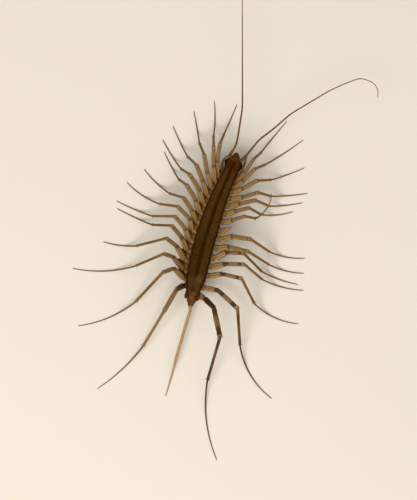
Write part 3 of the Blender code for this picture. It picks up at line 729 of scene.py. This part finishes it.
# Plates, and the tail's rings: place along the body, half width, top and bottom
TAIL_RINGS = (
    (-11.6, 0.5, 0.7, -0.8), (-12.0, 0.8, 0.98, -0.95), (-12.5, 0.88, 1.0, -0.95),
    (-13.0, 0.8, 0.9, -0.95), (-13.4, 0.7, 0.74, -0.85), (-13.8, 0.62, 0.54, -0.65),
    (-14.2, 0.56, 0.34, -0.45), (-14.42, 0.44, 0.14, -0.25),
)
TELSON_SHIFT = -0.08
PLATE_TOP = 1.1
RIM_TOP = 0.45
NOTCH_DEPTH = 0.22
NOTCH_HALF = 0.34
NECK_DIP = 0.32
LOBES = (
    ((-11.7, -1.02), (-12.2, -1.1), (-12.8, -1.18), (-13.32, -1.18)),
    ((-11.7, 0.86), (-12.2, 0.92), (-12.8, 0.96), (-13.36, 0.9)),
)


def build_plates(bristles, rng):
    unit_length = (TRUNK_FRONT - TRUNK_REAR) / sum(PLATE_LENGTHS)
    ends = TRUNK_FRONT - unit_length * np.cumsum((0, *PLATE_LENGTHS))
    for number, (front, rear) in enumerate(zip(ends, ends[1:]), start=1):
        build_plate(number, front, rear, bristles, rng)


def build_plate(number, front, rear, bristles, rng):
    """A thin domed shell that tucks under the plate in front and overhangs the next one."""
    last = number == len(PLATE_LENGTHS)
    start = front + (0.4 if number > 1 else 0.2)
    end = rear + (0.95 if last else -0.1)
    rows, columns = 50, 61
    across = np.sin(np.linspace(-math.pi / 2, math.pi / 2, columns))
    off = np.abs(across)
    dome = RIM_TOP + (PLATE_TOP - RIM_TOP) * np.sqrt(1 - 0.98 * across ** 2)
    dome += 0.05 * np.maximum(0.0, (off - 0.86) / 0.14) + 0.035 * np.exp(-((off - 0.55) / 0.18) ** 2)
    shares = 0.5 - 0.5 * np.cos(math.pi * np.linspace(0, 1, rows))
    places = start + (end - start) * shares
    phases = np.array([station_phase(t) for t in places])
    rings, tops = [], []
    for share, t, phase in zip(shares, places, phases):
        rear_pull = max(0.0, (share - 0.72) / 0.28) ** 2
        wide, shift = plate_fit(t)
        wide *= 1 - 0.1 * max(0.0, 1 - share / 0.12) ** 2
        wide *= 1 - 0.05 * max(0.0, (share - 0.92) / 0.08) ** 2
        dip = 0.2 * max(0.0, 1 - share / 0.2) ** 1.5
        if number == 1:
            dip = NECK_DIP * max(0.0, (t - 9.2) / 1.3) ** 2
        thick = 0.11 * math.sin(math.pi * min(max(share, 0.015), 0.985)) ** 0.25
        inner = across * half_width(t)
        notch = 0.0 if last else NOTCH_DEPTH * np.exp(-(inner / NOTCH_HALF) ** 2)
        bulge = (0.16 if last else 0.08) * (1 - across ** 2)
        saddle = 0.05 * np.exp(-((inner / (NOTCH_HALF * 1.6)) ** 2)) * rear_pull
        wave = math.cos(2 * math.pi * phase)
        high = body_height(t) + dome + 0.02 * share ** 2 - dip + saddle
        high += 0.012 * wave * np.maximum(0.0, off - 0.6)
        place = t + (notch - bulge) * rear_pull
        edge = thick * np.maximum(0.25, np.sqrt(1 - across ** 8))
        reach = wide * across * (1 + 0.022 * wave * across ** 8)
        tops.append(body_point(place, shift + reach, high))
        bottom = body_point(place, shift + reach * 0.985, high - edge)
        rings.append(np.vstack([tops[-1], bottom[::-1]]))
    sketch = Sketch()
    sketch.tube(np.array(rings), along=places, around=np.append(across, across[::-1]), part=phases,
                dark=shares + 2 * last)
    if last:
        build_lobes(sketch)
    grid = np.array(tops)
    for _ in range(int(PLATE_BRISTLES * abs(end - start))):
        i, j = rng.randrange(4, rows - 3), rng.randrange(3, columns - 3)
        normal = unit(np.cross(grid[i, j + 1] - grid[i, j - 1], grid[i + 1, j] - grid[i - 1, j]))
        normal = normal if normal[2] > 0 else -normal
        lean = outward_at(end, "right") * (rng.random() - 0.5) * 0.5
        spike(bristles, grid[i, j] - normal * 0.02, unit(normal * 0.7 - forward_at(end) + lean),
              0.1 + 0.08 * rng.random(), 0.01, sides=3, dark=1.0)
    sketch.finish(f"tergite_{number}", "plate", "plate", [f"trunk_{number}"])


def build_lobes(sketch):
    """The two blunt lobes that the last plate ends in, one on each side of the tail."""
    for places in LOBES:
        corners = [
            body_point(t, u, body_height(-12.0) + 0.62 - 0.16 * k) for k, (t, u) in enumerate(places)
        ]
        points = rounded(corners, 0.05, 12)
        share = np.linspace(0, 1, len(points))
        radii = 0.31 * np.sqrt(np.clip(1 - ((share - 0.45) / 0.56) ** 4, 0.02, 1.0))
        rings = sweep(points, radii, 24, flatness=0.7)
        sketch.tube(rings, along=-12.4, around=0.75 + 0.2 * np.abs(np.sin(turns(24))), part=15.0,
                    dark=2.6 + 0.4 * share)


def build_trunk_skin():
    """The soft body under the plates, one skin from the neck to the tail."""
    sines, cosines = round_the_ring(56)
    places = np.linspace(TRUNK_FRONT + 0.9, TRUNK_REAR - 0.9, 190)
    phases = np.array([station_phase(t) for t in places])
    rings = []
    for t, phase in zip(places, phases):
        swell = 0.5 + 0.5 * math.cos(2 * math.pi * phase)
        end = min(1.0, (TRUNK_FRONT + 0.9 - t) / 0.8 + 0.35, (t - TRUNK_REAR + 0.9) / 0.8 + 0.25)
        fitted, shift = plate_fit(min(max(t, -13.2), 10.6))
        flank = np.clip((t - TRUNK_REAR - 1.2) / 1.6, 0.0, 1.0) * np.clip(10.0 - t, 0.0, 1.0)
        wide = fitted * 0.8 * end ** 0.5 + (fitted * 0.2 + 0.16 - 0.14 * swell) * flank
        reach = np.where(cosines > 0, 0.22, 1.45 + 0.05 * swell) * end ** 0.4
        high = soft(cosines, 0.75) * reach - 0.25 * np.abs(sines) ** 3
        rings.append(body_point(t, soft(sines, 0.75) * wide + shift, body_height(t) + high))
    sketch = Sketch()
    sketch.tube(np.array(rings), along=places, around=sines, part=phases)
    sketch.finish("trunk_skin", "skin", "plate", [f"trunk_{n}" for n in range(1, 9)])


def build_telson():
    """The tail: a broad squared block with two small lobes at its end."""
    sines, cosines = round_the_ring(40)
    base = body_height(-13.3)
    rings = []
    for t, wide, top, bottom in TAIL_RINGS:
        u = soft(sines, 0.9) * wide
        w = np.where(cosines > 0, cosines * top - 0.08 * np.exp(-(u / 0.14) ** 2), -cosines * bottom)
        rings.append(body_point(t, u + TELSON_SHIFT, base + w))
    fine = [a + (b - a) * k / 6 for a, b in zip(rings, rings[1:]) for k in range(6)]
    sketch = Sketch()
    sketch.tube(eased_out(np.array([*fine, rings[-1]]), 3), around=sines)
    axes = forward_at(-14.3), outward_at(-14.3, "right")
    for u, back in ((0.22, 0.0), (-0.34, 0.06)):
        centre = body_point(-14.3 - back, u, base - 0.1)
        ball(sketch, centre, (0.2, 0.26, 0.2), axes=axes, sides=20, levels=14)
    sketch.finish("telson_skin", "telson", "plate", ["telson"])


# Head: (place forward, half width, top, bottom) as in the solids, softened
HEAD_RINGS = (
    (-0.75, 1.05, 0.8, -0.6), (-0.5, 1.24, 1.08, -0.7), (-0.1, 1.29, 1.14, -0.8), (0.4, 1.4, 1.14, -0.9),
    (1.0, 1.52, 1.12, -1.0), (1.5, 1.55, 1.08, -1.0), (1.9, 1.48, 1.04, -1.0), (2.2, 1.32, 1.0, -1.0),
    (2.42, 1.12, 0.92, -0.98), (2.6, 0.9, 0.78, -0.95), (2.8, 0.72, 0.54, -0.92), (3.0, 0.62, 0.3, -0.88),
    (3.2, 0.5, 0.06, -0.8), (3.4, 0.36, -0.16, -0.68), (3.55, 0.2, -0.32, -0.54),
)


def build_head(bristles, rng):
    forwards, halves, tops, bottoms = (np.array(column) for column in zip(*HEAD_RINGS))
    places = np.linspace(forwards[0], forwards[-1], 90)
    half, high, low = (smooth(forwards, values, places) for values in (halves, tops, bottoms))
    sines, cosines = round_the_ring(64)
    rings = []
    for place, wide, top, bottom in zip(places, half, high, low):
        u = soft(sines, 0.85) * wide - 0.14 * max(0.0, place - 2.4)
        furrow = 0.06 * np.exp(-(u / 0.12) ** 2) * math.exp(-((place - 1.2) / 1.1) ** 4)
        brow = 0.05 * np.exp(-((np.abs(u) - 0.62) / 0.25) ** 2) * math.exp(-((place - 2.0) / 0.5) ** 2)
        w = soft(cosines, 0.85) * np.where(cosines > 0, top, -bottom) + (cosines > 0) * (brow - furrow)
        rings.append(head_point(place, u, w))
    rings = np.array(rings)
    sketch = Sketch()
    sketch.tube(rings, along=places, around=sines * half[:, None], part=cosines)
    for _ in range(HEAD_BRISTLES):
        i, j = rng.randrange(15, 80), rng.randrange(-14, 15)
        out = unit(rings[i, j] - rings[i].mean(0))
        spike(bristles, rings[i, j] - out * 0.02, unit(out + head_axes()[0] * 0.6),
              0.13 + 0.12 * rng.random(), 0.012, sides=3, dark=1.0)
    sketch.finish("head_skin", "head", "head", ["head"])


# How wide a lens of the eye reads, as the fall of a cosine
LENS_SPREAD = 0.0026


def build_eye(side):
    """A domed eye of many small lenses."""
    centre = head_point(EYE_PLACE[0], side_sign(side) * EYE_PLACE[1], EYE_PLACE[2])
    along, across = head_axes()
    bpy.ops.mesh.primitive_ico_sphere_add(subdivisions=4, radius=1.0)
    coarse = bpy.context.object
    lens_centres = np.array([vertex.co for vertex in coarse.data.vertices])
    bpy.data.objects.remove(coarse)
    sketch = Sketch()
    levels, sides = 110, 120
    tilt = math.pi * (np.linspace(0.004, 0.996, levels) - 0.5)
    sines, cosines = round_the_ring(sides)
    parts = (np.cos(tilt), sines), (np.sin(tilt), np.ones(sides)), (np.cos(tilt), cosines)
    directions = np.stack([np.outer(*pair) for pair in parts], axis=2)
    flat = directions.reshape(-1, 3)
    nearest = np.empty(len(flat))
    for begin in range(0, len(flat), 2000):
        nearest[begin:begin + 2000] = (flat[begin:begin + 2000] @ lens_centres.T).max(1)
    spread = 1 - np.clip((1 - nearest) / LENS_SPREAD, 0.0, 1.0)
    scale = (1.0 + 0.035 * spread.reshape(levels, sides))[:, :, None]
    size = np.array(EYE_SIZE) * (1.15, 1.12, 1.12)
    local = directions * scale * size * 0.98
    rings = centre + local[..., :1] * across + local[..., 1:2] * along + local[..., 2:] * UP
    sketch.tube(rings, around=spread.reshape(levels, sides))
    sketch.finish(f"eye_{side}_lenses", "eye", "eye", [f"eye_{side}"])


# Length of one mesh ring of an antenna
ANTENNA_STEP = 0.034


def antenna_route(side):
    root = head_point(ANTENNA_ROOT[0], side_sign(side) * ANTENNA_ROOT[1], ANTENNA_ROOT[2])
    corners = [root]
    for heading, length in ANTENNA_STEPS[side]:
        corners.append(corners[-1] + picture_direction(heading) * length)
    points = rounded(corners, 0.2, 20)
    share = np.minimum(np.linspace(0, 1, len(points)) * ARCH_LENGTH, 1.0)
    points[:, 2] += ANTENNA_RISE * np.sin(math.pi * share ** ARCH_POWER)
    return points


def build_antenna(side, bristles, rng):
    """A whip of hundreds of short rings on two stout basal joints."""
    coarse = np.vstack([head_point(2.2, side_sign(side) * 0.85, 0.1), antenna_route(side)])
    lengths = np.concatenate([[0], np.cumsum(np.linalg.norm(np.diff(coarse, axis=0), axis=1))])
    total = lengths[-1]
    count = round(total / ANTENNA_STEP)
    place = np.linspace(0, total, count)
    points = np.stack([np.interp(place, lengths, coarse[:, axis]) for axis in range(3)], axis=1)
    share = place / total
    radii = 0.23 - 0.165 * share ** 0.5
    radii += 0.13 * np.exp(-((place - 0.45) / 0.4) ** 4) + 0.06 * np.exp(-((place - 1.35) / 0.35) ** 4)
    radii[0] *= 0.5
    radii[-1] *= 0.3
    growing = np.cumsum(1 / (0.1 + 0.05 * np.clip(1 - share * 6, 0, 1))) * (total / count)
    ripple = np.sin(2 * math.pi * growing)
    rings = sweep(points, radii * (1 + 0.045 * ripple), 12)
    sketch = Sketch()
    sketch.tube(rings, along=share, around=0.5 + 0.5 * ripple)
    ball(sketch, head_point(2.45, side_sign(side) * 0.98, 0.28), (0.36, 0.3, 0.42), part=1.0)
    for k in range(ANTENNA_BRISTLES):
        i = int(count * 0.02 + (count * 0.96) * k / ANTENNA_BRISTLES)
        j = rng.randrange(12)
        out = unit(rings[i, j] - rings[i].mean(0))
        ahead = unit(points[min(i + 2, count - 1)] - points[i])
        spike(bristles, rings[i, j] - out * 0.01, unit(out + ahead * 1.2), 0.12, 0.008, sides=3, dark=0.5)
    sketch.finish(f"antenna_{side}_skin", "feeler", "feeler", [f"antenna_{side}"])


def build_mouthparts(side, bristles, rng):
    def finish(name, points, radii, tip, sides, rows, count, length):
        radii[0] *= 0.6
        radii[-1] *= tip
        rings = sweep(points, radii, sides)
        sketch = Sketch()
        sketch.tube(rings)
        bristle_rows(bristles, rings, rows, count, length, 0.01, rng, dark=0.2)
        sketch.finish(name + "_skin", "mouth", "mouth", [name])

    sign = side_sign(side)
    route = [body_point(t, sign * u, body_height(t) + w) for t, u, w in CLAW_PATHS[side]]
    route[0] = body_point(10.0, sign * 0.5, body_height(10.0) - 0.85)
    points = rounded(route, 0.06, 60)
    share = np.linspace(0, 1, len(points))
    radii = 0.33 - 0.28 * share ** 1.8 + 0.035 * np.cos(2 * math.pi * 3.0 * share) * (1 - share)
    finish(f"forcipule_{side}", points, radii, 0.2, 22, (0.1, 0.35, 0.65, 0.9), 12, 0.14)

    route = [head_point(forward, sign * u, w) for forward, u, w in PALP_PATH]
    route[0] = head_point(0.5, sign * 0.35, -0.9)
    points = rounded(route, 0.06, 40)
    share = np.linspace(0, 1, len(points))
    radii = 0.28 - 0.13 * share + 0.03 * np.cos(2 * math.pi * 2.5 * share)
    finish(f"maxilla_{side}", points, radii, 0.4, 20, (0.1, 0.5, 0.9), 10, 0.16)


# Materials
WARM_GLOSS = (1.0, 0.75, 0.45, 1.0)


def srgb(red, green, blue):
    """A colour given as in a picture, from 0 to 255, in the linear values that shaders take."""
    def linear(value):
        value /= 255
        return value / 12.92 if value <= 0.04045 else ((value + 0.055) / 1.055) ** 2.4
    return (linear(red), linear(green), linear(blue), 1.0)


class Value:
    """What a node of a material puts out. Plain arithmetic with it makes further nodes."""

    def __init__(self, graph, socket):
        self.graph, self.socket = graph, socket

    def operate(self, operation, *others):
        return self.graph.node("Math", 0, dict(enumerate((self, *others))), operation=operation)

    __add__ = partialmethod(operate, "ADD")
    __sub__ = partialmethod(operate, "SUBTRACT")
    __mul__ = partialmethod(operate, "MULTIPLY")
    __truediv__ = partialmethod(operate, "DIVIDE")
    __abs__ = partialmethod(operate, "ABSOLUTE")
    cosine = partialmethod(operate, "COSINE")

    def span(self, low, high):
        """Nought below low, one above high and a soft step between. high may be the lower one."""
        inputs = {"Value": self, "From Min": low, "From Max": high}
        return self.graph.node("MapRange", "Result", inputs, interpolation_type="SMOOTHSTEP")

    def ramp(self, *stops):
        """Each stop is its place and a colour as in a picture, or one plain value."""
        made = self.graph.node("ValToRGB", "Color", {"Fac": self})
        elements = made.socket.node.color_ramp.elements
        while len(elements) < len(stops):
            elements.new(0.5)
        for element, (place, *tone) in zip(elements, stops):
            element.position = place
            element.color = srgb(*tone) if len(tone) == 3 else (*tone * 3, 1.0)
        return made


class Graph:
    """A material in the making, with short calls for the nodes that are used here."""

    def __init__(self, name, **constants):
        self.material = bpy.data.materials.new(name)
        self.material.use_nodes = True
        self.tree = self.material.node_tree
        self.shader = self.tree.nodes["Principled BSDF"]
        for socket, value in constants.items():
            self.shader.inputs[socket.replace("_", " ")].default_value = value

    def plug(self, socket, value):
        """Feed a socket with a Value, a colour as in a picture or a plain number."""
        if isinstance(value, Value):
            self.tree.links.new(value.socket, socket)
        else:
            socket.default_value = srgb(*value) if isinstance(value, tuple) else value

    def node(self, kind, output, inputs, **settings):
        made = self.tree.nodes.new("ShaderNode" + kind)
        for key, value in settings.items():
            setattr(made, key, value)
        for socket, value in inputs.items():
            self.plug(made.inputs[socket], value)
        return Value(self, made.outputs[output])

    def read(self, name):
        return self.node("Attribute", "Fac", {}, attribute_name=name)

    def noise(self, scale, detail=3.0, stretch=(1.0, 1.0, 1.0), roughness=0.5):
        vector = self.node("Mapping", "Vector", {
            "Vector": self.node("TexCoord", "Object", {}),
            "Scale": [scale * value for value in stretch],
        })
        return self.node("TexNoise", "Fac", {
            "Vector": vector, "Scale": 1.0, "Detail": detail, "Roughness": roughness,
        })

    def mix(self, share, a, b):
        return self.node("Mix", 2, {0: share, 6: a, 7: b}, data_type="RGBA")

    def paint(self, share, tone):
        """Lay a colour over the one that the material has so far, as thick as share."""
        self.colour = self.mix(share, self.colour, tone)

    def bump(self, height, distance):
        inputs = {"Distance": distance, "Strength": 1.0, "Height": height}
        self.plug(self.shader.inputs["Normal"], self.node("Bump", "Normal", inputs))

    def finish(self, roughness=None):
        self.plug(self.shader.inputs["Base Color"], self.colour)
        if roughness is not None:
            self.plug(self.shader.inputs["Roughness"], roughness)
        return self.material


def plate_material():
    """Dark median stripe, two mottled bands, redder in front, and dark scalloped margins."""
    g = Graph("plate", Specular_IOR_Level=0.015, Specular_Tint=WARM_GLOSS)
    along, sideways, phase, share = (g.read(name) for name in VALUES)
    mottle = g.noise(2400, 4, roughness=0.6)
    g.colour = mottle.ramp((0.3, 54, 34, 10), (0.52, 62, 40, 13), (0.75, 74, 49, 18))
    left = mottle.ramp((0.3, 45, 28, 7), (0.52, 52, 33, 9), (0.75, 62, 42, 15))
    right = mottle.ramp((0.3, 49, 31, 8), (0.52, 57, 38, 12), (0.75, 68, 47, 19))
    g.paint(along.span(1.5, -3.5), g.mix(sideways.span(-0.1, 0.1), left, right))
    neck = mottle.ramp((0.3, 58, 35, 13), (0.52, 68, 42, 17), (0.75, 80, 52, 24))
    g.paint(along.span(6.0, 9.0), neck)
    place = abs(sideways) + (g.noise(1100) * 0.16 - 0.08)
    g.paint(place.span(0.3, 0.1), g.noise(1500).ramp((0.3, 32, 16, 0), (0.7, 43, 25, 1)))
    tail = mottle.ramp((0.3, 51, 33, 13), (0.52, 62, 42, 18), (0.75, 76, 54, 27))
    g.paint(along.span(-8.4, -10.0), tail)

    # Soft oval patches: place and reach along the body, the same across it, strength and colour
    for t, reach, s, spread, amount, tone in (
        # Pale patch on the right front of the seventh plate: a painted highlight
        (-9.4, 0.9, 0.36, 0.36, 0.5, (88, 64, 36)),
        (-11.5, 0.6, -0.16, 0.24, 0.8, (44, 25, 7)),
        (-12.3, 0.5, 0.1, 0.5, 0.7, (88, 62, 30)),
    ):
        down, aside = (along - t) / reach, (sideways - s) / spread
        far = down * down + aside * aside + (mottle * 0.8 - 0.4)
        g.paint(far.span(1.4, 0.2) * amount, tone)

    edge = (phase * math.tau).cosine() * 0.04 + place + along.span(-8.0, -11.0) * 0.1
    margin = g.noise(2600).ramp((0.35, 38, 17, 0), (0.62, 50, 25, 1), (0.85, 80, 46, 15))
    g.paint(edge.span(0.81, 0.9), margin)
    lobe = share.span(2.55, 2.6) * along.span(-12.39, -12.41)
    g.paint(lobe * 0.7, mottle.ramp((0.3, 62, 40, 16), (0.7, 96, 68, 36)))
    # Faint dark rear edge of each plate but the last: own border and painted shade of the overhang
    g.paint(share.span(0.955, 0.995) * share.span(1.1, 1.0) * 0.2, (32, 18, 4))
    g.paint(g.noise(5200, 1).span(0.68, 0.76) * 0.2, (110, 70, 30))
    fine = g.noise(5200, 4, stretch=(1, 0.5, 1))
    g.bump(mottle * 0.5 + fine, 0.00003)
    return g.finish(fine.ramp((0.2, 0.4), (0.8, 0.6)))


def skin_material():
    """Dull brown under the legs, with paler folds between them."""
    g = Graph("skin", Roughness=0.6, Specular_IOR_Level=0.02, Specular_Tint=WARM_GLOSS)
    tone = (g.read("part") * math.tau).cosine() * 0.15 + g.noise(1500, 4)
    g.colour = tone.ramp((0.3, 44, 26, 8), (0.55, 66, 42, 16), (0.85, 92, 62, 28))
    g.bump(g.noise(3800, 4), 0.00005)
    return g.finish()


def telson_material():
    g = Graph("telson", Roughness=0.5, Specular_IOR_Level=0.04)
    tone = abs(g.read("around")) * -0.12 + g.noise(1700, 4)
    g.colour = tone.ramp((0.25, 62, 38, 14), (0.45, 82, 54, 25), (0.7, 102, 72, 38))
    g.bump(g.noise(4200, 4), 0.00004)
    return g.finish()


def head_material():
    """Red-brown with a dark median stripe and dark rims, a painted highlight along its front and a dull
    snout.
    """
    g = Graph("head", Specular_IOR_Level=0.01, Specular_Tint=WARM_GLOSS)
    forward, sideways, up = (g.read(name) for name in VALUES[:3])
    mottle, wobble = g.noise(2600, 4), g.noise(1400) * 0.2 - 0.1
    g.colour = mottle.ramp((0.3, 50, 25, 5), (0.7, 64, 35, 10))
    g.paint(forward.span(0.7, -0.5), mottle.ramp((0.3, 56, 34, 12), (0.7, 74, 47, 20)))
    g.paint(forward.span(1.7, 2.2), mottle.ramp((0.3, 62, 34, 11), (0.7, 80, 50, 21)))
    snout = mottle.ramp((0.3, 66, 40, 16), (0.55, 84, 54, 27), (0.8, 104, 72, 42))
    g.paint(forward.span(2.5, 2.75), snout)
    middle = abs(forward.span(1.6, -0.4) * 0.14 + sideways) + wobble + forward.span(0.2, 2.2) * 0.14
    g.paint(middle.span(0.36, 0.12) * forward.span(2.2, 1.7), (38, 17, 1))
    rim = abs(sideways) + wobble + forward.span(0.7, -0.6) * 0.24 + forward.span(1.5, 2.1) * 0.12
    g.paint(rim.span(1.14, 1.28) * forward.span(2.3, 2.05), (30, 11, 0))
    # A pale line over the front, stronger to the right: a painted highlight on the snout's edge
    line = abs(sideways * sideways * 0.2 + forward - 2.58)
    g.paint(line.span(0.16, 0.03) * sideways.span(-0.5, 0.2) * 0.7, (104, 74, 44))
    g.paint(up.span(-0.05, -0.35), mottle.ramp((0.3, 84, 56, 26), (0.7, 122, 88, 48)))
    g.bump(g.noise(4200, 4), 0.00003)
    return g.finish(mottle.ramp((0.2, 0.4), (0.8, 0.58)))


def eye_material():
    g = Graph("eye", Roughness=0.35, Specular_IOR_Level=0.02, Specular_Tint=WARM_GLOSS)
    g.colour = g.read("around").ramp((0.0, 16, 6, 0), (1.0, 42, 18, 1))
    return g.finish()


def feeler_material():
    g = Graph("feeler", Roughness=0.5, Specular_IOR_Level=0.08)
    along, around, part = (g.read(name) for name in VALUES[:3])
    g.colour = along.ramp(
        (0.0, 104, 72, 40), (0.05, 104, 68, 32), (0.15, 98, 64, 30), (0.35, 92, 62, 32), (1.0, 104, 76, 44),
    )
    g.paint((around - 1) * -0.35, (58, 34, 14))
    g.paint(part, g.noise(2400).ramp((0.3, 76, 46, 20), (0.7, 120, 84, 48)))
    g.bump(g.noise(5000), 0.00002)
    return g.finish()


def mouth_material():
    g = Graph("mouth", Roughness=0.4, Specular_IOR_Level=0.12)
    g.colour = g.read("along").ramp(
        (0.0, 92, 66, 34), (0.3, 122, 92, 52), (0.33, 92, 64, 32), (0.36, 126, 96, 56), (0.6, 126, 96, 56),
        (0.63, 92, 64, 32), (0.66, 130, 98, 58), (0.82, 128, 92, 52), (0.97, 60, 30, 12),
    )
    g.paint(g.noise(2400, 4) * 0.4, (84, 56, 27))
    g.bump(g.noise(4800), 0.00003)
    return g.finish()


def leg_material():
    """Pale tan ridges over browner grooves, crossed by dark bands and with knobs at the joints painted pale
    as highlights.
    """
    g = Graph("leg", Roughness=0.38, Specular_IOR_Level=0.12)
    along, around, part, dark = (g.read(name) for name in VALUES)
    mottle, crest = g.noise(2200, 4), around.span(0.05, 0.75)

    def is_part(number):
        return part.operate("COMPARE", number, 0.5)

    g.colour = crest.ramp((0.0, 110, 81, 42), (0.45, 129, 99, 56), (1.0, 150, 119, 73))
    shank = crest.ramp((0.0, 102, 74, 34), (1.0, 138, 107, 60))
    joint_glow = along.ramp((0.0, 0.7), (0.06, 0.0), (0.93, 0.0), (1.0, 0.5))
    foot = along.ramp((0.0, 128, 97, 50), (0.5, 130, 98, 51), (1.0, 134, 102, 58))
    for number, tone in (
        (COXA, mottle.ramp((0.3, 98, 68, 32), (0.55, 126, 94, 50), (0.75, 150, 118, 70))),
        # The fold darkens towards its front, where it slips under the hip ahead: painted shadow of that hip
        (FOLD, along.ramp((0.0, 168, 136, 88), (0.1, 134, 102, 58), (0.5, 122, 91, 49),
                          (0.72, 98, 68, 33), (0.92, 58, 34, 12))),
        (FEMUR, crest.ramp((0.0, 96, 71, 36), (0.45, 114, 87, 49), (1.0, 131, 103, 63))),
        (TIBIA, g.mix(joint_glow, shank, (146, 116, 72))),
        (TARSUS, g.mix((around - 1) * -0.35, foot, (88, 62, 28))),
        (SPUR, (58, 34, 14)),
        (MEMBRANE, (112, 80, 42)),
        # Knobs: a painted highlight
        (HIGHLIGHT_KNOB, (206, 178, 130)),
    ):
        g.paint(is_part(number), tone)
    g.paint(along.span(0.88, 0.92) * is_part(FEMUR) * 0.6, (152, 122, 78))
    g.paint(mottle * 0.2, (92, 62, 28))
    # Dark bands of the legs, deepened by painted shade on the left hind legs
    shade = dark + (g.noise(1800, 2) * 0.3 - 0.15)
    g.paint(shade.span(0.02, 0.95), (58, 35, 15))
    g.paint(dark.span(-0.1, -0.9), mottle.ramp((0.3, 140, 110, 74), (0.7, 172, 142, 104)))
    g.bump(g.noise(6500) * 0.6 + mottle, 0.00002)
    return g.finish(mottle.ramp((0.2, 0.3), (0.8, 0.48)))


def bristle_material():
    g = Graph("bristle", Roughness=0.4)
    g.colour = g.mix(g.read("dark"), (140, 98, 54), (58, 34, 18))
    return g.finish()


LOOKS = dict(
    plate=plate_material(), skin=skin_material(), telson=telson_material(), head=head_material(),
    eye=eye_material(), feeler=feeler_material(), mouth=mouth_material(), leg=leg_material(),
    bristle=bristle_material(),
)


def from_picture(x, y):
    """A direction of the picture, x to its right and y up, as x and y of the frame."""
    turn = math.radians(90.0 - BODY_IN_PICTURE)
    return x * math.cos(turn) - y * math.sin(turn), x * math.sin(turn) + y * math.cos(turn)


def add_to_scene(name, data, location, rotation):
    made = bpy.data.objects.new(name, data)
    made.location = location
    made.rotation_euler = rotation
    bpy.context.scene.collection.objects.link(made)
    return made


def build_stage():
    """Plain pale floor, soft studio light and the camera of the photograph."""
    bpy.ops.mesh.primitive_circle_add(vertices=96, radius=3.0, fill_type="NGON", location=(0, 0, -0.00002))
    floor = bpy.context.object
    floor.name = "floor"
    g = Graph("floor", Roughness=0.9, Specular_IOR_Level=0.1)
    g.colour = (208, 203, 196)
    floor.data.materials.append(g.finish())

    scene = bpy.context.scene
    scene.view_settings.view_transform = "Standard"
    scene.world = bpy.data.worlds.new("studio")
    scene.world.use_nodes = True
    sky = scene.world.node_tree.nodes["Background"].inputs
    sky["Color"].default_value = (1.0, 0.95, 0.87, 1.0)
    sky["Strength"].default_value = 0.5

    for name, (x, y, z), size, power in (
        ("key", (-0.15, -0.20, 0.36), 0.3, 1.9),
        ("fill", (0.26, 0.16, 0.30), 0.4, 0.6),
    ):
        where = Vector((*from_picture(x, y), z))
        light = bpy.data.lights.new(name, "AREA")
        light.size = size
        light.energy = power
        light.color = LAMP_COLOUR
        add_to_scene(name, light, where, (-where).to_track_quat("-Z", "Y").to_euler())

    right, down = ((size / 2 - pixel) * PIXEL for size, pixel in zip(PICTURE_SIZE, BODY_MIDDLE_PIXEL))
    lens = bpy.data.cameras.new("camera")
    lens.lens = CAMERA_LENS
    lens.sensor_width = CAMERA_SENSOR
    lens.clip_start = 0.01
    lens.clip_end = 20.0
    distance = PICTURE_SIZE[1] * PIXEL * CAMERA_LENS / CAMERA_SENSOR
    place = np.array((*from_picture(right, -down), FOCUS_HEIGHT + distance)) - BOX_MIDDLE
    turn = (0.0, 0.0, math.radians(90.0 - BODY_IN_PICTURE))
    scene.camera = add_to_scene("camera", lens, place * MM, turn)


rng = random.Random(7)
body_bristles = Sketch()
build_plates(body_bristles, rng)
build_trunk_skin()
build_telson()
build_head(body_bristles, rng)
for side in SIDES:
    build_eye(side)
    build_antenna(side, body_bristles, rng)
    build_mouthparts(side, body_bristles, rng)
body_bristles.finish("body_bristles", "bristle", "feeler")
for side in SIDES:
    leg_bristles = Sketch()
    for pair in range(1, LEG_PAIRS + 1):
        build_leg(side, pair, leg_bristles, rng)
    leg_bristles.finish(f"leg_bristles_{side}", "bristle", "leg")
build_stage()
